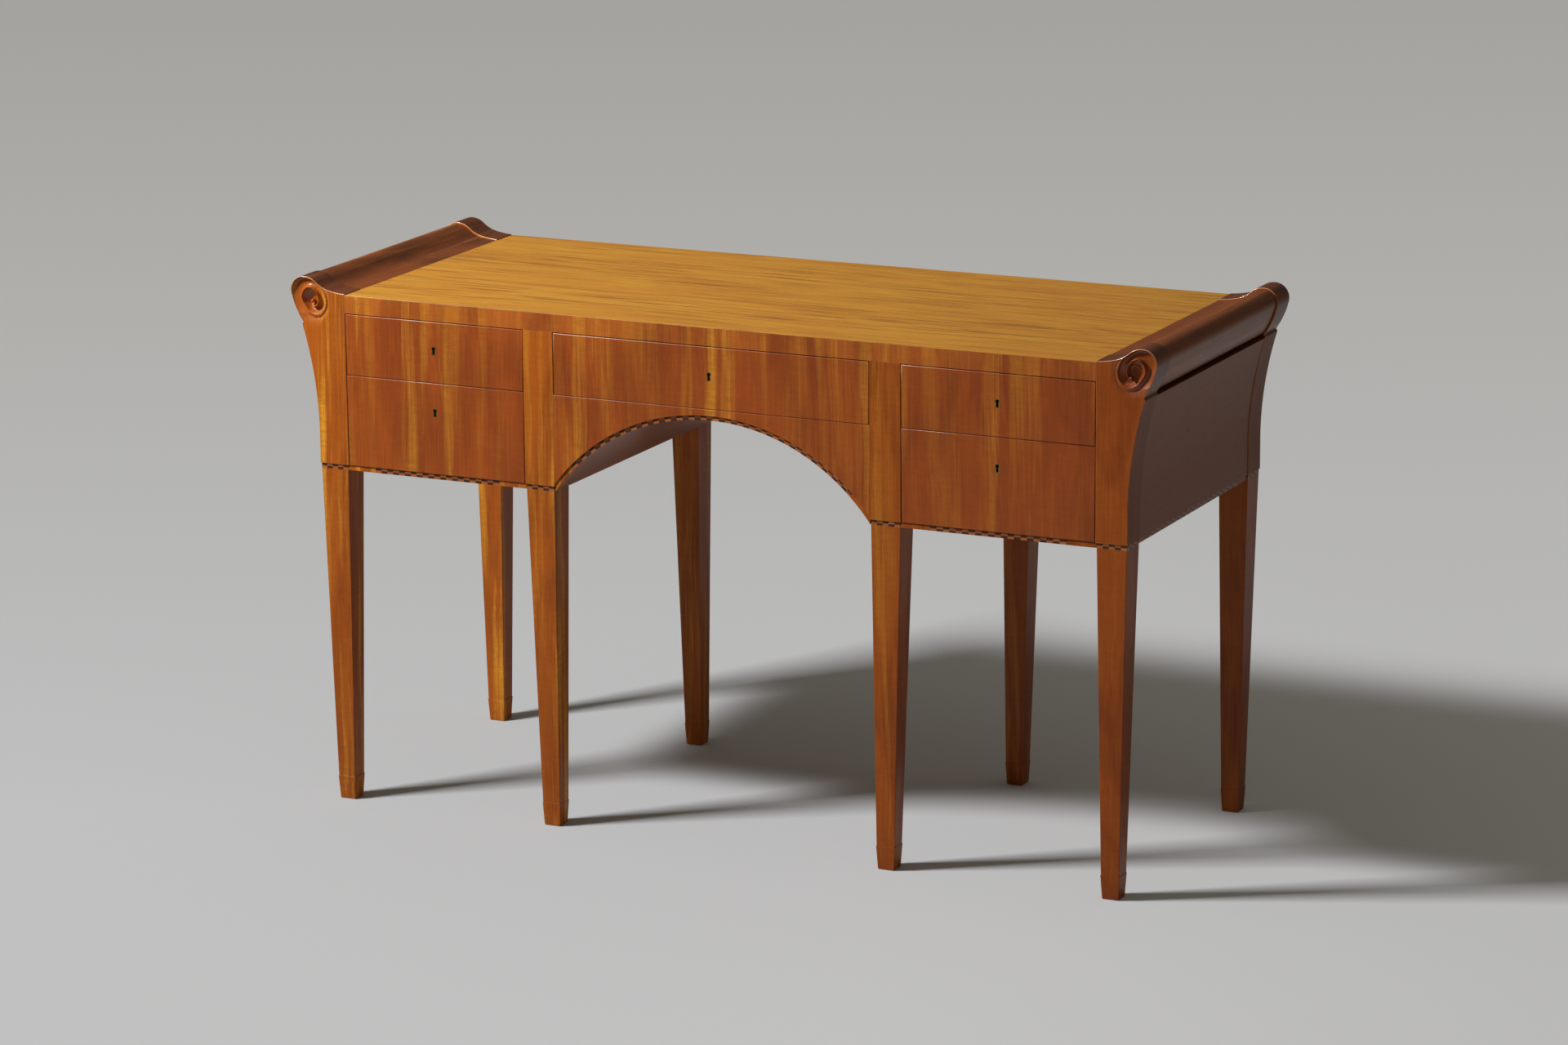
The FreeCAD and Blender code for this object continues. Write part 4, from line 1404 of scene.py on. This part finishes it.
class CheckLayer:
    """Geometry nodes tree that lays a row of checks along each path."""

    SOCKETS = (
        ("Count", "NodeSocketInt"),
        ("Length", "NodeSocketFloat"),
        ("Thickness", "NodeSocketFloat"),
        ("Height", "NodeSocketFloat"),
        ("Dark", "NodeSocketMaterial"),
        ("Light", "NodeSocketMaterial"),
    )

    def __init__(self, shop: Workshop) -> None:
        """Builds the tree.

        Args:
            shop: Workshop that gives the materials.
        """
        self.shop = shop
        self.tree = bpy.data.node_groups.new("check_layer", "GeometryNodeTree")
        face = self.tree.interface
        face.new_socket("Geometry", in_out="INPUT", socket_type="NodeSocketGeometry")
        face.new_socket("Geometry", in_out="OUTPUT", socket_type="NodeSocketGeometry")
        for name, kind in self.SOCKETS:
            face.new_socket(name, in_out="INPUT", socket_type=kind)
        nodes = NodeTree(self.tree)
        given = nodes.add("NodeGroupInput").outputs
        path = nodes.add("GeometryNodeMeshToCurve", {"Mesh": given["Geometry"]}).outputs[0]
        spots = nodes.add("GeometryNodeCurveToPoints", {"Curve": path, "Count": given["Count"]}, mode="COUNT")
        facing = nodes.add("GeometryNodeInputNamedAttribute", {"Name": FACING}, data_type="FLOAT_VECTOR")
        phase = nodes.add("GeometryNodeInputNamedAttribute", {"Name": PHASE}, data_type="FLOAT")
        along = nodes.add("FunctionNodeAlignRotationToVector", {"Vector": spots.outputs["Tangent"]}, axis="X")
        turned = nodes.add(
            "FunctionNodeAlignRotationToVector",
            {"Rotation": along.outputs[0], "Vector": facing.outputs[0]},
            axis="Y",
            pivot_axis="X",
        )
        size = nodes.add(
            "ShaderNodeCombineXYZ", {0: given["Length"], 1: given["Thickness"], 2: given["Height"]}
        ).outputs[0]
        check = nodes.add("GeometryNodeMeshCube", {"Size": size}).outputs[0]
        place = nodes.out(Step.MODULO, nodes.add("GeometryNodeInputIndex").outputs[0], given["Count"])
        parity = nodes.out(Step.MODULO, nodes.out(Step.ADD, place, phase.outputs[0]), 2.0)
        laid = nodes.add(
            "GeometryNodeInstanceOnPoints",
            {"Points": spots.outputs["Points"], "Instance": check, "Rotation": turned.outputs[0]},
        ).outputs[0]
        is_dark = nodes.out(Step.BELOW, parity, 0.5)
        marked = nodes.add(
            "GeometryNodeStoreNamedAttribute",
            {"Geometry": laid, "Name": DARK, "Value": is_dark},
            data_type="FLOAT",
            domain="INSTANCE",
        ).outputs[0]
        chance = nodes.add("FunctionNodeRandomValue", {"Seed": CHECK_SEED}, data_type="FLOAT").outputs[1]
        varied = nodes.add(
            "GeometryNodeStoreNamedAttribute",
            {"Geometry": marked, "Name": BOARD, "Value": chance},
            data_type="FLOAT",
            domain="INSTANCE",
        ).outputs[0]
        whole = nodes.add("GeometryNodeRealizeInstances", {"Geometry": varied}).outputs[0]
        light = {"Geometry": whole, "Material": given["Light"]}
        light = nodes.add("GeometryNodeSetMaterial", light).outputs[0]
        dark_mark = nodes.add("GeometryNodeInputNamedAttribute", {"Name": DARK}, data_type="FLOAT").outputs[0]
        chosen = nodes.out(Step.ABOVE, dark_mark, 0.5)
        dark = {"Geometry": light, "Selection": chosen, "Material": given["Dark"]}
        dark = nodes.add("GeometryNodeSetMaterial", dark).outputs[0]
        nodes.add("NodeGroupOutput", {"Geometry": dark})

    def lay(self, rows: Sequence[CheckRow], count: int, size: Point) -> bpy.types.Mesh:
        """Lays rows of checks of one size.

        Args:
            rows: The rows.
            count: Checks in each row.
            size: Length, thickness and height of a check in millimetres.

        Returns:
            The mesh of all the checks.
        """
        points: list[Point] = []
        edges: list[tuple[int, int]] = []
        facing: list[float] = []
        phase: list[float] = []
        for row in rows:
            first = len(points)
            points += [tuple(c * MM for c in point) for point in row.path]
            edges += [(i, i + 1) for i in range(first, len(points) - 1)]
            for _ in row.path:
                facing += row.facing
                phase.append(row.phase)
        base = bpy.data.meshes.new("check_paths")
        base.from_pydata(points, edges, [])
        base.attributes.new(FACING, "FLOAT_VECTOR", "POINT").data.foreach_set("vector", facing)
        base.attributes.new(PHASE, "FLOAT", "POINT").data.foreach_set("value", phase)
        carrier = bpy.data.objects.new("check_paths", base)
        bpy.context.scene.collection.objects.link(carrier)
        modifier = carrier.modifiers.new("checks", "NODES")
        modifier.node_group = self.tree
        values = (count, *(s * MM for s in size), self.shop.material(EBONY), self.shop.material(BOXWOOD))
        sockets = [s for s in self.tree.interface.items_tree if s.in_out == "INPUT" and s.name != "Geometry"]
        for socket, value in zip(sockets, values):
            modifier[socket.identifier] = value
        ready = carrier.evaluated_get(bpy.context.evaluated_depsgraph_get())
        mesh = bpy.data.meshes.new_from_object(ready)
        bpy.data.objects.remove(carrier)
        return mesh


@dataclass(frozen=True)
class CheckRow:
    """One row of checks.

    Attributes:
        path: Points through the middles of the checks in millimetres.
        facing: Direction that the checks' face looks.
        phase: 0 when the first check is dark, 1 when it is light.
    """

    path: Sequence[Point]
    facing: Point
    phase: float


@dataclass
class CheckedBanding:
    """All the inlaid bands of checks, in millimetres.

    Attributes:
        height: Height of a band.
        thickness: Thickness of the checks.
        joint: Gap left between two checks.
        rows: Each row's middle as a share of the band's height, and its phase.
        rail_y: Front face of the strips under the pedestals.
        rail_middle: Middle of a pedestal.
        rail_half: Half length of the band under a pedestal's front.
        rail_count: Checks in that band.
        side_x: Outer face of the side strips.
        side_half: Half length of the band under a side.
        side_count: Checks in that band.
        foot: Height of the bands' lower edge.
        arch_radius: Radius of the arch's lower edge.
        arch_strip: Height of the arch's strip.
        arch_centre: Height of the arch's centre.
        arch_half_angle: Half the angle of the band on the arch.
        arch_count: Checks in that band.
        leg_size: Width of a leg under the post.
        leg_count: Checks across a leg.
        leg_places: Middles of the posts.
        leg_y: Middle of the front posts.
    """

    height: float = 7.5
    thickness: float = 1.0
    joint: float = 0.06
    rows: tuple[Spot, Spot] = ((0.75, 0.0), (0.25, 1.0))
    rail_y: float = 255.5
    rail_middle: float = 445.0
    rail_half: float = 103.0
    rail_count: int = 21
    side_x: float = 636.8
    side_half: float = 171.5
    side_count: int = 35
    foot: float = 507.5
    arch_radius: float = 309.13
    arch_strip: float = 7.0
    arch_centre: float = 325.67
    arch_half_angle: float = 45.0
    arch_count: int = 51
    leg_size: float = 45.0
    leg_count: int = 5
    leg_places: tuple[float, ...] = (-616.0, -274.0, 274.0, 616.0)
    leg_y: float = 233.5

    def straight(self, middle: Spot, half: float, facing: Spot, count: int) -> list[CheckRow]:
        """Makes the two rows of a straight band.

        Args:
            middle: Middle of the band's face, seen from above.
            half: Half its length.
            facing: Direction that the face looks, seen from above.
            count: Checks in each row.

        Returns:
            The rows, the upper one first.
        """
        x, y = middle
        run_x, run_y = half * abs(facing[1]), half * abs(facing[0])
        start = Vector((x - run_x, y - run_y, self.foot))
        end = Vector((x + run_x, y + run_y, self.foot))
        inward = Vector((*facing, 0.0)) * (-self.thickness / 2)
        rows = []
        for share, phase in self.rows:
            lift = Vector((0, 0, self.height * share))
            spots = [start.lerp(end, (i + 0.5) / count) + inward + lift for i in (0, count - 1)]
            rows.append(CheckRow([tuple(spot) for spot in spots], (*facing, 0.0), phase))
        return rows

    def arched(self, share: float, phase: float) -> list[CheckRow]:
        """Makes one row of the arch's band, behind and in front.

        Args:
            share: Place of the row's middle in the strip's height.
            phase: 0 when its first check is dark, 1 when it is light.

        Returns:
            The front row and the back row.
        """
        radius = self.arch_radius + self.arch_strip * share
        rows = []
        for way in (-1.0, 1.0):
            y = way * (self.rail_y - self.thickness / 2)
            path = []
            for i in range(self.arch_count):
                angle = math.radians(self.arch_half_angle * (2 * (i + 0.5) / self.arch_count - 1))
                path.append((radius * math.sin(angle), y, self.arch_centre + radius * math.cos(angle)))
            rows.append(CheckRow(path, (0.0, way, 0.0), phase))
        return rows

    def bands(self) -> list[tuple[list[CheckRow], int, float, float]]:
        """Makes the rows of every band.

        Returns:
            For each size of check, its rows, the checks in a row, and the room that one check takes in
            length and height.
        """
        rails, sides, leg_fronts, leg_sides = [], [], [], []
        half = self.leg_size / 2
        reach = half - self.thickness
        for way in (-1.0, 1.0):
            for x in (-self.rail_middle, self.rail_middle):
                rails += self.straight((x, way * self.rail_y), self.rail_half, (0.0, way), self.rail_count)
        for way in (-1.0, 1.0):
            sides += self.straight((way * self.side_x, 0.0), self.side_half, (way, 0.0), self.side_count)
        for x in self.leg_places:
            for y in (-self.leg_y, self.leg_y):
                for way in (-1.0, 1.0):
                    leg_fronts += self.straight((x, y + way * half), half, (0.0, way), self.leg_count)
                    leg_sides += self.straight((x + way * half, y), reach, (way, 0.0), self.leg_count)
        (upper, upper_phase), (lower, lower_phase) = self.rows
        turn = math.radians(2 * self.arch_half_angle) / self.arch_count
        high, arch_high = self.height / 2, self.arch_strip / 2
        upper_length = (self.arch_radius + arch_high) * turn
        return [
            (rails, self.rail_count, 2 * self.rail_half / self.rail_count, high),
            (sides, self.side_count, 2 * self.side_half / self.side_count, high),
            (leg_fronts, self.leg_count, self.leg_size / self.leg_count, high),
            (leg_sides, self.leg_count, 2 * reach / self.leg_count, high),
            (self.arched(lower, lower_phase), self.arch_count, self.arch_radius * turn, arch_high),
            (self.arched(upper, upper_phase), self.arch_count, upper_length, arch_high),
        ]

    def build(self, shop: Workshop) -> None:
        """Builds every band.

        Args:
            shop: Workshop that finishes them.
        """
        layer = CheckLayer(shop)
        work = bmesh.new()
        for rows, count, length, height in self.bands():
            mesh = layer.lay(rows, count, (length - self.joint, self.thickness, height - self.joint))
            work.from_mesh(mesh)
            bpy.data.meshes.remove(mesh)
        for face in work.faces:
            face.material_index -= 1
        whole = bpy.data.meshes.new("checked_bands")
        work.to_mesh(whole)
        work.free()
        for finish in (BOXWOOD, EBONY):
            whole.materials.append(shop.material(finish))
        shop.finish(whole, "checked_bands", "bandings")


@dataclass
class Studio:
    """Pale paper floor, one upright softbox, dim even light and the photograph's view.

    Attributes:
        floor_size: Width of the floor in metres.
        paper: Share of the light that the paper gives back.
        key_place: Place of the softbox.
        key_heading: Compass direction that it faces, in degrees from +X toward +Y.
        key_size: Width of the softbox.
        key_power: Power of the softbox in watts.
        key_colour: Colour of its light.
        fill: Brightness of the even light at the horizon.
        overhead: How much brighter that light is overhead.
        backdrop: Colour that the camera sees past the floor's far edge.
        near_shade: Brightness that the lit paper has near the desk.
        far_shade: Brightness that it fades to far behind.
        fade: Distance over which it fades.
        side_fade: Share that it loses to the right of the desk.
        side_reach: How far to the right of the desk's middle it has lost that, in metres.
        side_hold: How soon that loss fades again with distance behind.
        tones: Darkest and palest tone of the paper, as shares of its own.
        lens: Focal length in millimetres.
        sensor: Width of the camera's frame in millimetres.
        sight: Greatest distance that the camera sees, in metres.
        eye: Place of the camera.
        yaw: How far the camera is turned to the left of straight ahead, in degrees.
        pitch: How far it looks up, in degrees.
        roll: How far it is tilted, in degrees.
    """

    floor_size: float = 60.0
    paper: float = 0.8
    key_place: Point = (-2.06, -1.71, 2.82)
    key_heading: float = 43.0
    key_size: float = 0.6
    key_power: float = 270.0
    key_colour: Point = (0.96, 0.975, 1.0)
    fill: Point = (0.065, 0.0615, 0.054)
    overhead: float = 3.4
    backdrop: Point = (0.31, 0.301, 0.279)
    near_shade: float = 0.541
    far_shade: float = 0.3
    fade: float = 6.0
    side_fade: float = 0.09
    side_reach: float = 1.2
    side_hold: float = 4.0
    tones: Spot = (0.45, 1.1)
    lens: float = 125.04
    sensor: float = 36.0
    sight: float = 100.0
    eye: Point = (3.3568, -7.0129, 2.3260)
    yaw: float = 25.625
    pitch: float = -13.713
    roll: float = -0.499

    def build(self) -> None:
        """Builds floor, lights and camera."""
        self.build_floor()
        self.build_lights()
        self.build_camera()

    def build_floor(self) -> None:
        """Builds the floor, toned so that the softbox's falloff does not show."""
        half = self.floor_size / 2
        corners = [(-half, -half, 0), (half, -half, 0), (half, half, 0), (-half, half, 0)]
        mesh = bpy.data.meshes.new("floor")
        mesh.from_pydata(corners, [], [(0, 1, 2, 3)])
        floor = bpy.data.objects.new("floor", mesh)
        bpy.context.scene.collection.objects.link(floor)
        material = bpy.data.materials.new("paper_floor")
        material.use_nodes = True
        nodes = NodeTree(material.node_tree)
        place = nodes.add("ShaderNodeNewGeometry").outputs["Position"]
        wanted, lit = self.wanted_shade(nodes, place), self.light_on_floor(nodes, place)
        darkest, palest = (self.paper * share for share in self.tones)
        tone = nodes.out(Step.LEAST, nodes.out(Step.DIVIDE, wanted, lit), palest)
        tone = nodes.out(Step.GREATEST, tone, darkest)
        colour = nodes.add("ShaderNodeCombineXYZ", {0: tone, 1: tone, 2: tone}).outputs[0]
        shader = nodes.add("ShaderNodeBsdfDiffuse", {"Color": colour, "Roughness": 0.0})
        missing = nodes.out(Step.SUBTRACT, wanted, nodes.out(Step.MULTIPLY, tone, lit))
        seen = nodes.add("ShaderNodeLightPath").outputs["Is Camera Ray"]
        missing = nodes.out(Step.MULTIPLY, nodes.out(Step.GREATEST, missing, 0.0), seen)
        glow = nodes.add("ShaderNodeEmission", {"Strength": missing})
        both = nodes.add("ShaderNodeAddShader", {0: shader.outputs[0], 1: glow.outputs[0]})
        nodes.add("ShaderNodeOutputMaterial", {"Surface": both.outputs[0]})
        mesh.materials.append(material)
        floor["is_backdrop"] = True

    def light_on_floor(self, nodes: NodeTree, place: Socket) -> Socket:
        """Works out the light that falls on the floor with nothing in its way.

        Args:
            nodes: Tree to fill.
            place: Socket that gives the place.

        Returns:
            The light's socket.
        """
        heading = math.radians(self.key_heading)
        offset = nodes.out(Step.TAKE, place, self.key_place)
        ahead = nodes.out(Step.DOT, offset, (math.cos(heading), math.sin(heading), 0.0))
        ahead = nodes.out(Step.GREATEST, ahead, 0.0)
        squared = nodes.out(Step.DOT, offset, offset)
        strength = self.key_power * self.key_place[2] / math.pi**2
        key = nodes.out(Step.MULTIPLY, ahead, strength)
        key = nodes.out(Step.DIVIDE, key, nodes.out(Step.MULTIPLY, squared, squared))
        return nodes.out(Step.ADD, key, sum(self.fill) / 3 * (1 + self.overhead * 2 / 3))

    def wanted_shade(self, nodes: NodeTree, place: Socket) -> Socket:
        """Works out how bright the lit floor is to look.

        Args:
            nodes: Tree to fill.
            place: Socket that gives the place.

        Returns:
            The brightness's socket.
        """
        yaw = math.radians(self.yaw)
        away = nodes.out(Step.DOT, place, (-math.sin(yaw), math.cos(yaw), 0.0))
        away = nodes.out(Step.GREATEST, away, 0.0)
        fade = nodes.out(Step.POWER, math.exp(-1 / self.fade), away)
        wanted = nodes.out(Step.MULTIPLY, fade, self.near_shade - self.far_shade)
        wanted = nodes.out(Step.ADD, wanted, self.far_shade)
        aside = nodes.out(Step.DOT, place, (math.cos(yaw), math.sin(yaw), 0.0))
        aside = nodes.out(Step.MULTIPLY, nodes.out(Step.RAMP, aside, 0.0, self.side_reach), self.side_fade)
        aside = nodes.out(Step.MULTIPLY, aside, nodes.out(Step.POWER, fade, self.side_hold))
        return nodes.out(Step.MULTIPLY, wanted, nodes.out(Step.SUBTRACT, 1.0, aside))

    def build_lights(self) -> None:
        """Builds the softbox and the even light of the room."""
        heading = math.radians(self.key_heading)
        ahead = Vector((math.cos(heading), math.sin(heading), 0.0))
        data = bpy.data.lights.new("softbox", "AREA")
        data.shape = "SQUARE"
        data.size = self.key_size
        data.energy = self.key_power
        data.color = self.key_colour
        light = bpy.data.objects.new("softbox", data)
        light.location = self.key_place
        light.rotation_euler = ahead.to_track_quat("-Z", "Y").to_euler()
        bpy.context.scene.collection.objects.link(light)
        world = bpy.data.worlds.new("room_light")
        bpy.context.scene.world = world
        world.use_nodes = True
        nodes = NodeTree(world.node_tree)
        way = nodes.add("ShaderNodeTexCoord").outputs["Generated"]
        height = nodes.add("ShaderNodeSeparateXYZ", {0: way}).outputs[2]
        height = nodes.out(Step.GREATEST, height, 0.0)
        strength = nodes.out(Step.ADD, nodes.out(Step.MULTIPLY, height, self.overhead), 1.0)
        sky = nodes.add("ShaderNodeBackground", {"Color": (*self.fill, 1.0), "Strength": strength})
        paper = nodes.add("ShaderNodeBackground", {"Color": (*self.backdrop, 1.0), "Strength": 1.0})
        seen = nodes.add("ShaderNodeLightPath").outputs["Is Camera Ray"]
        sky = nodes.add("ShaderNodeMixShader", {0: seen, 1: sky.outputs[0], 2: paper.outputs[0]})
        nodes.add("ShaderNodeOutputWorld", {"Surface": sky.outputs[0]})

    def build_camera(self) -> None:
        """Builds the camera that sees the desk as the photograph does."""
        yaw, pitch, roll = (math.radians(a) for a in (self.yaw, self.pitch, self.roll))
        ahead = Vector((-math.sin(yaw) * math.cos(pitch), math.cos(yaw) * math.cos(pitch), math.sin(pitch)))
        level = Vector((math.cos(yaw), math.sin(yaw), 0.0))
        upward = level.cross(ahead)
        right = level * math.cos(roll) + upward * math.sin(roll)
        up = upward * math.cos(roll) - level * math.sin(roll)
        data = bpy.data.cameras.new("photo_view")
        data.lens = self.lens
        data.sensor_width = self.sensor
        data.clip_end = self.sight
        camera = bpy.data.objects.new("photo_view", data)
        turn = Matrix((right, up, -ahead)).transposed().to_4x4()
        camera.matrix_world = Matrix.Translation(Vector(self.eye)) @ turn
        bpy.context.scene.collection.objects.link(camera)
        bpy.context.scene.camera = camera


def corners() -> list[list[float]]:
    """Gives the lower and the upper corner of the object's bounds as plain numbers."""
    return [[float(c) for c in corner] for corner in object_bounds()]


def build_boards(shop: Workshop) -> None:
    """Builds every piece that keeps its CAD node's shape.

    Args:
        shop: Workshop that finishes them.
    """
    sides = ("left", "right")
    drawers = ("left_upper", "left_lower", "centre", "right_upper", "right_lower")
    fronts = [f"drawer_{name}_front" for name in drawers]
    RoundedBoards(FRONT, fronts, arris=1.1, shortest=9.0, front_only=True, matched=True).build(shop)
    RoundedBoards(FRIEZE, ["frieze_strips"], arris=0.25, matched=True).build(shop)
    RoundedBoards(FRONT, ["apron_front"], arris=0.8, shortest=60.0, front_only=True, matched=True).build(shop)
    case_backs = ["apron_back", *(f"back_panel_{side}" for side in sides)]
    RoundedBoards(FRONT, case_backs, arris=0.25, matched=True).build(shop)
    uprights = [f"post_inner_{depth}_{side}" for depth in ("front", "back") for side in sides]
    uprights += ["arch_strips", *(f"pedestal_rails_{side}" for side in sides)]
    RoundedBoards(POST, uprights).build(shop)
    RoundedBoards(TOP, ["top_veneer"], arris=0.45).build(shop)
    RoundedBoards(ROLL, [f"scroll_roll_{side}" for side in sides], arris=0.8).build(shop)
    RoundedBoards(SIDE_WITH_PAINTED_SHADE, [*(f"side_panel_{side}" for side in sides), "vault_soffit"], arris=0.8).build(shop)
    linings = ["top_panel", "pedestal_bottoms", "drawer_dividers", "drawer_guides", "drawer_stops"]
    linings += [f"partition_{side}" for side in sides]
    linings += [f"drawer_{name}_{part}" for name in drawers for part in ("box", "bottom")]
    RoundedBoards(LINING, linings, arris=0.5).build(shop)
    brass = [f"drawer_{name}_{part}" for name in drawers for part in ("lock", "escutcheon")]
    RoundedBoards(BRASS, brass, arris=0.15).build(shop)
    RoundedBoards(STEEL, [f"drawer_{name}_bolt" for name in drawers], arris=0.4).build(shop)


def main() -> None:
    """Builds the desk's looks on the frame."""
    logging.basicConfig(level=logging.INFO, format="%(name)s: %(message)s")
    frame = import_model()
    bpy.context.scene.view_settings.view_transform = "Standard"
    shop = Workshop(frame)
    ScrollPosts().build(shop)
    build_boards(shop)
    CheckedBanding().build(shop)
    Studio().build()
    LOG.info("floor, lights and camera made")


if __name__ == "__main__":
    main()
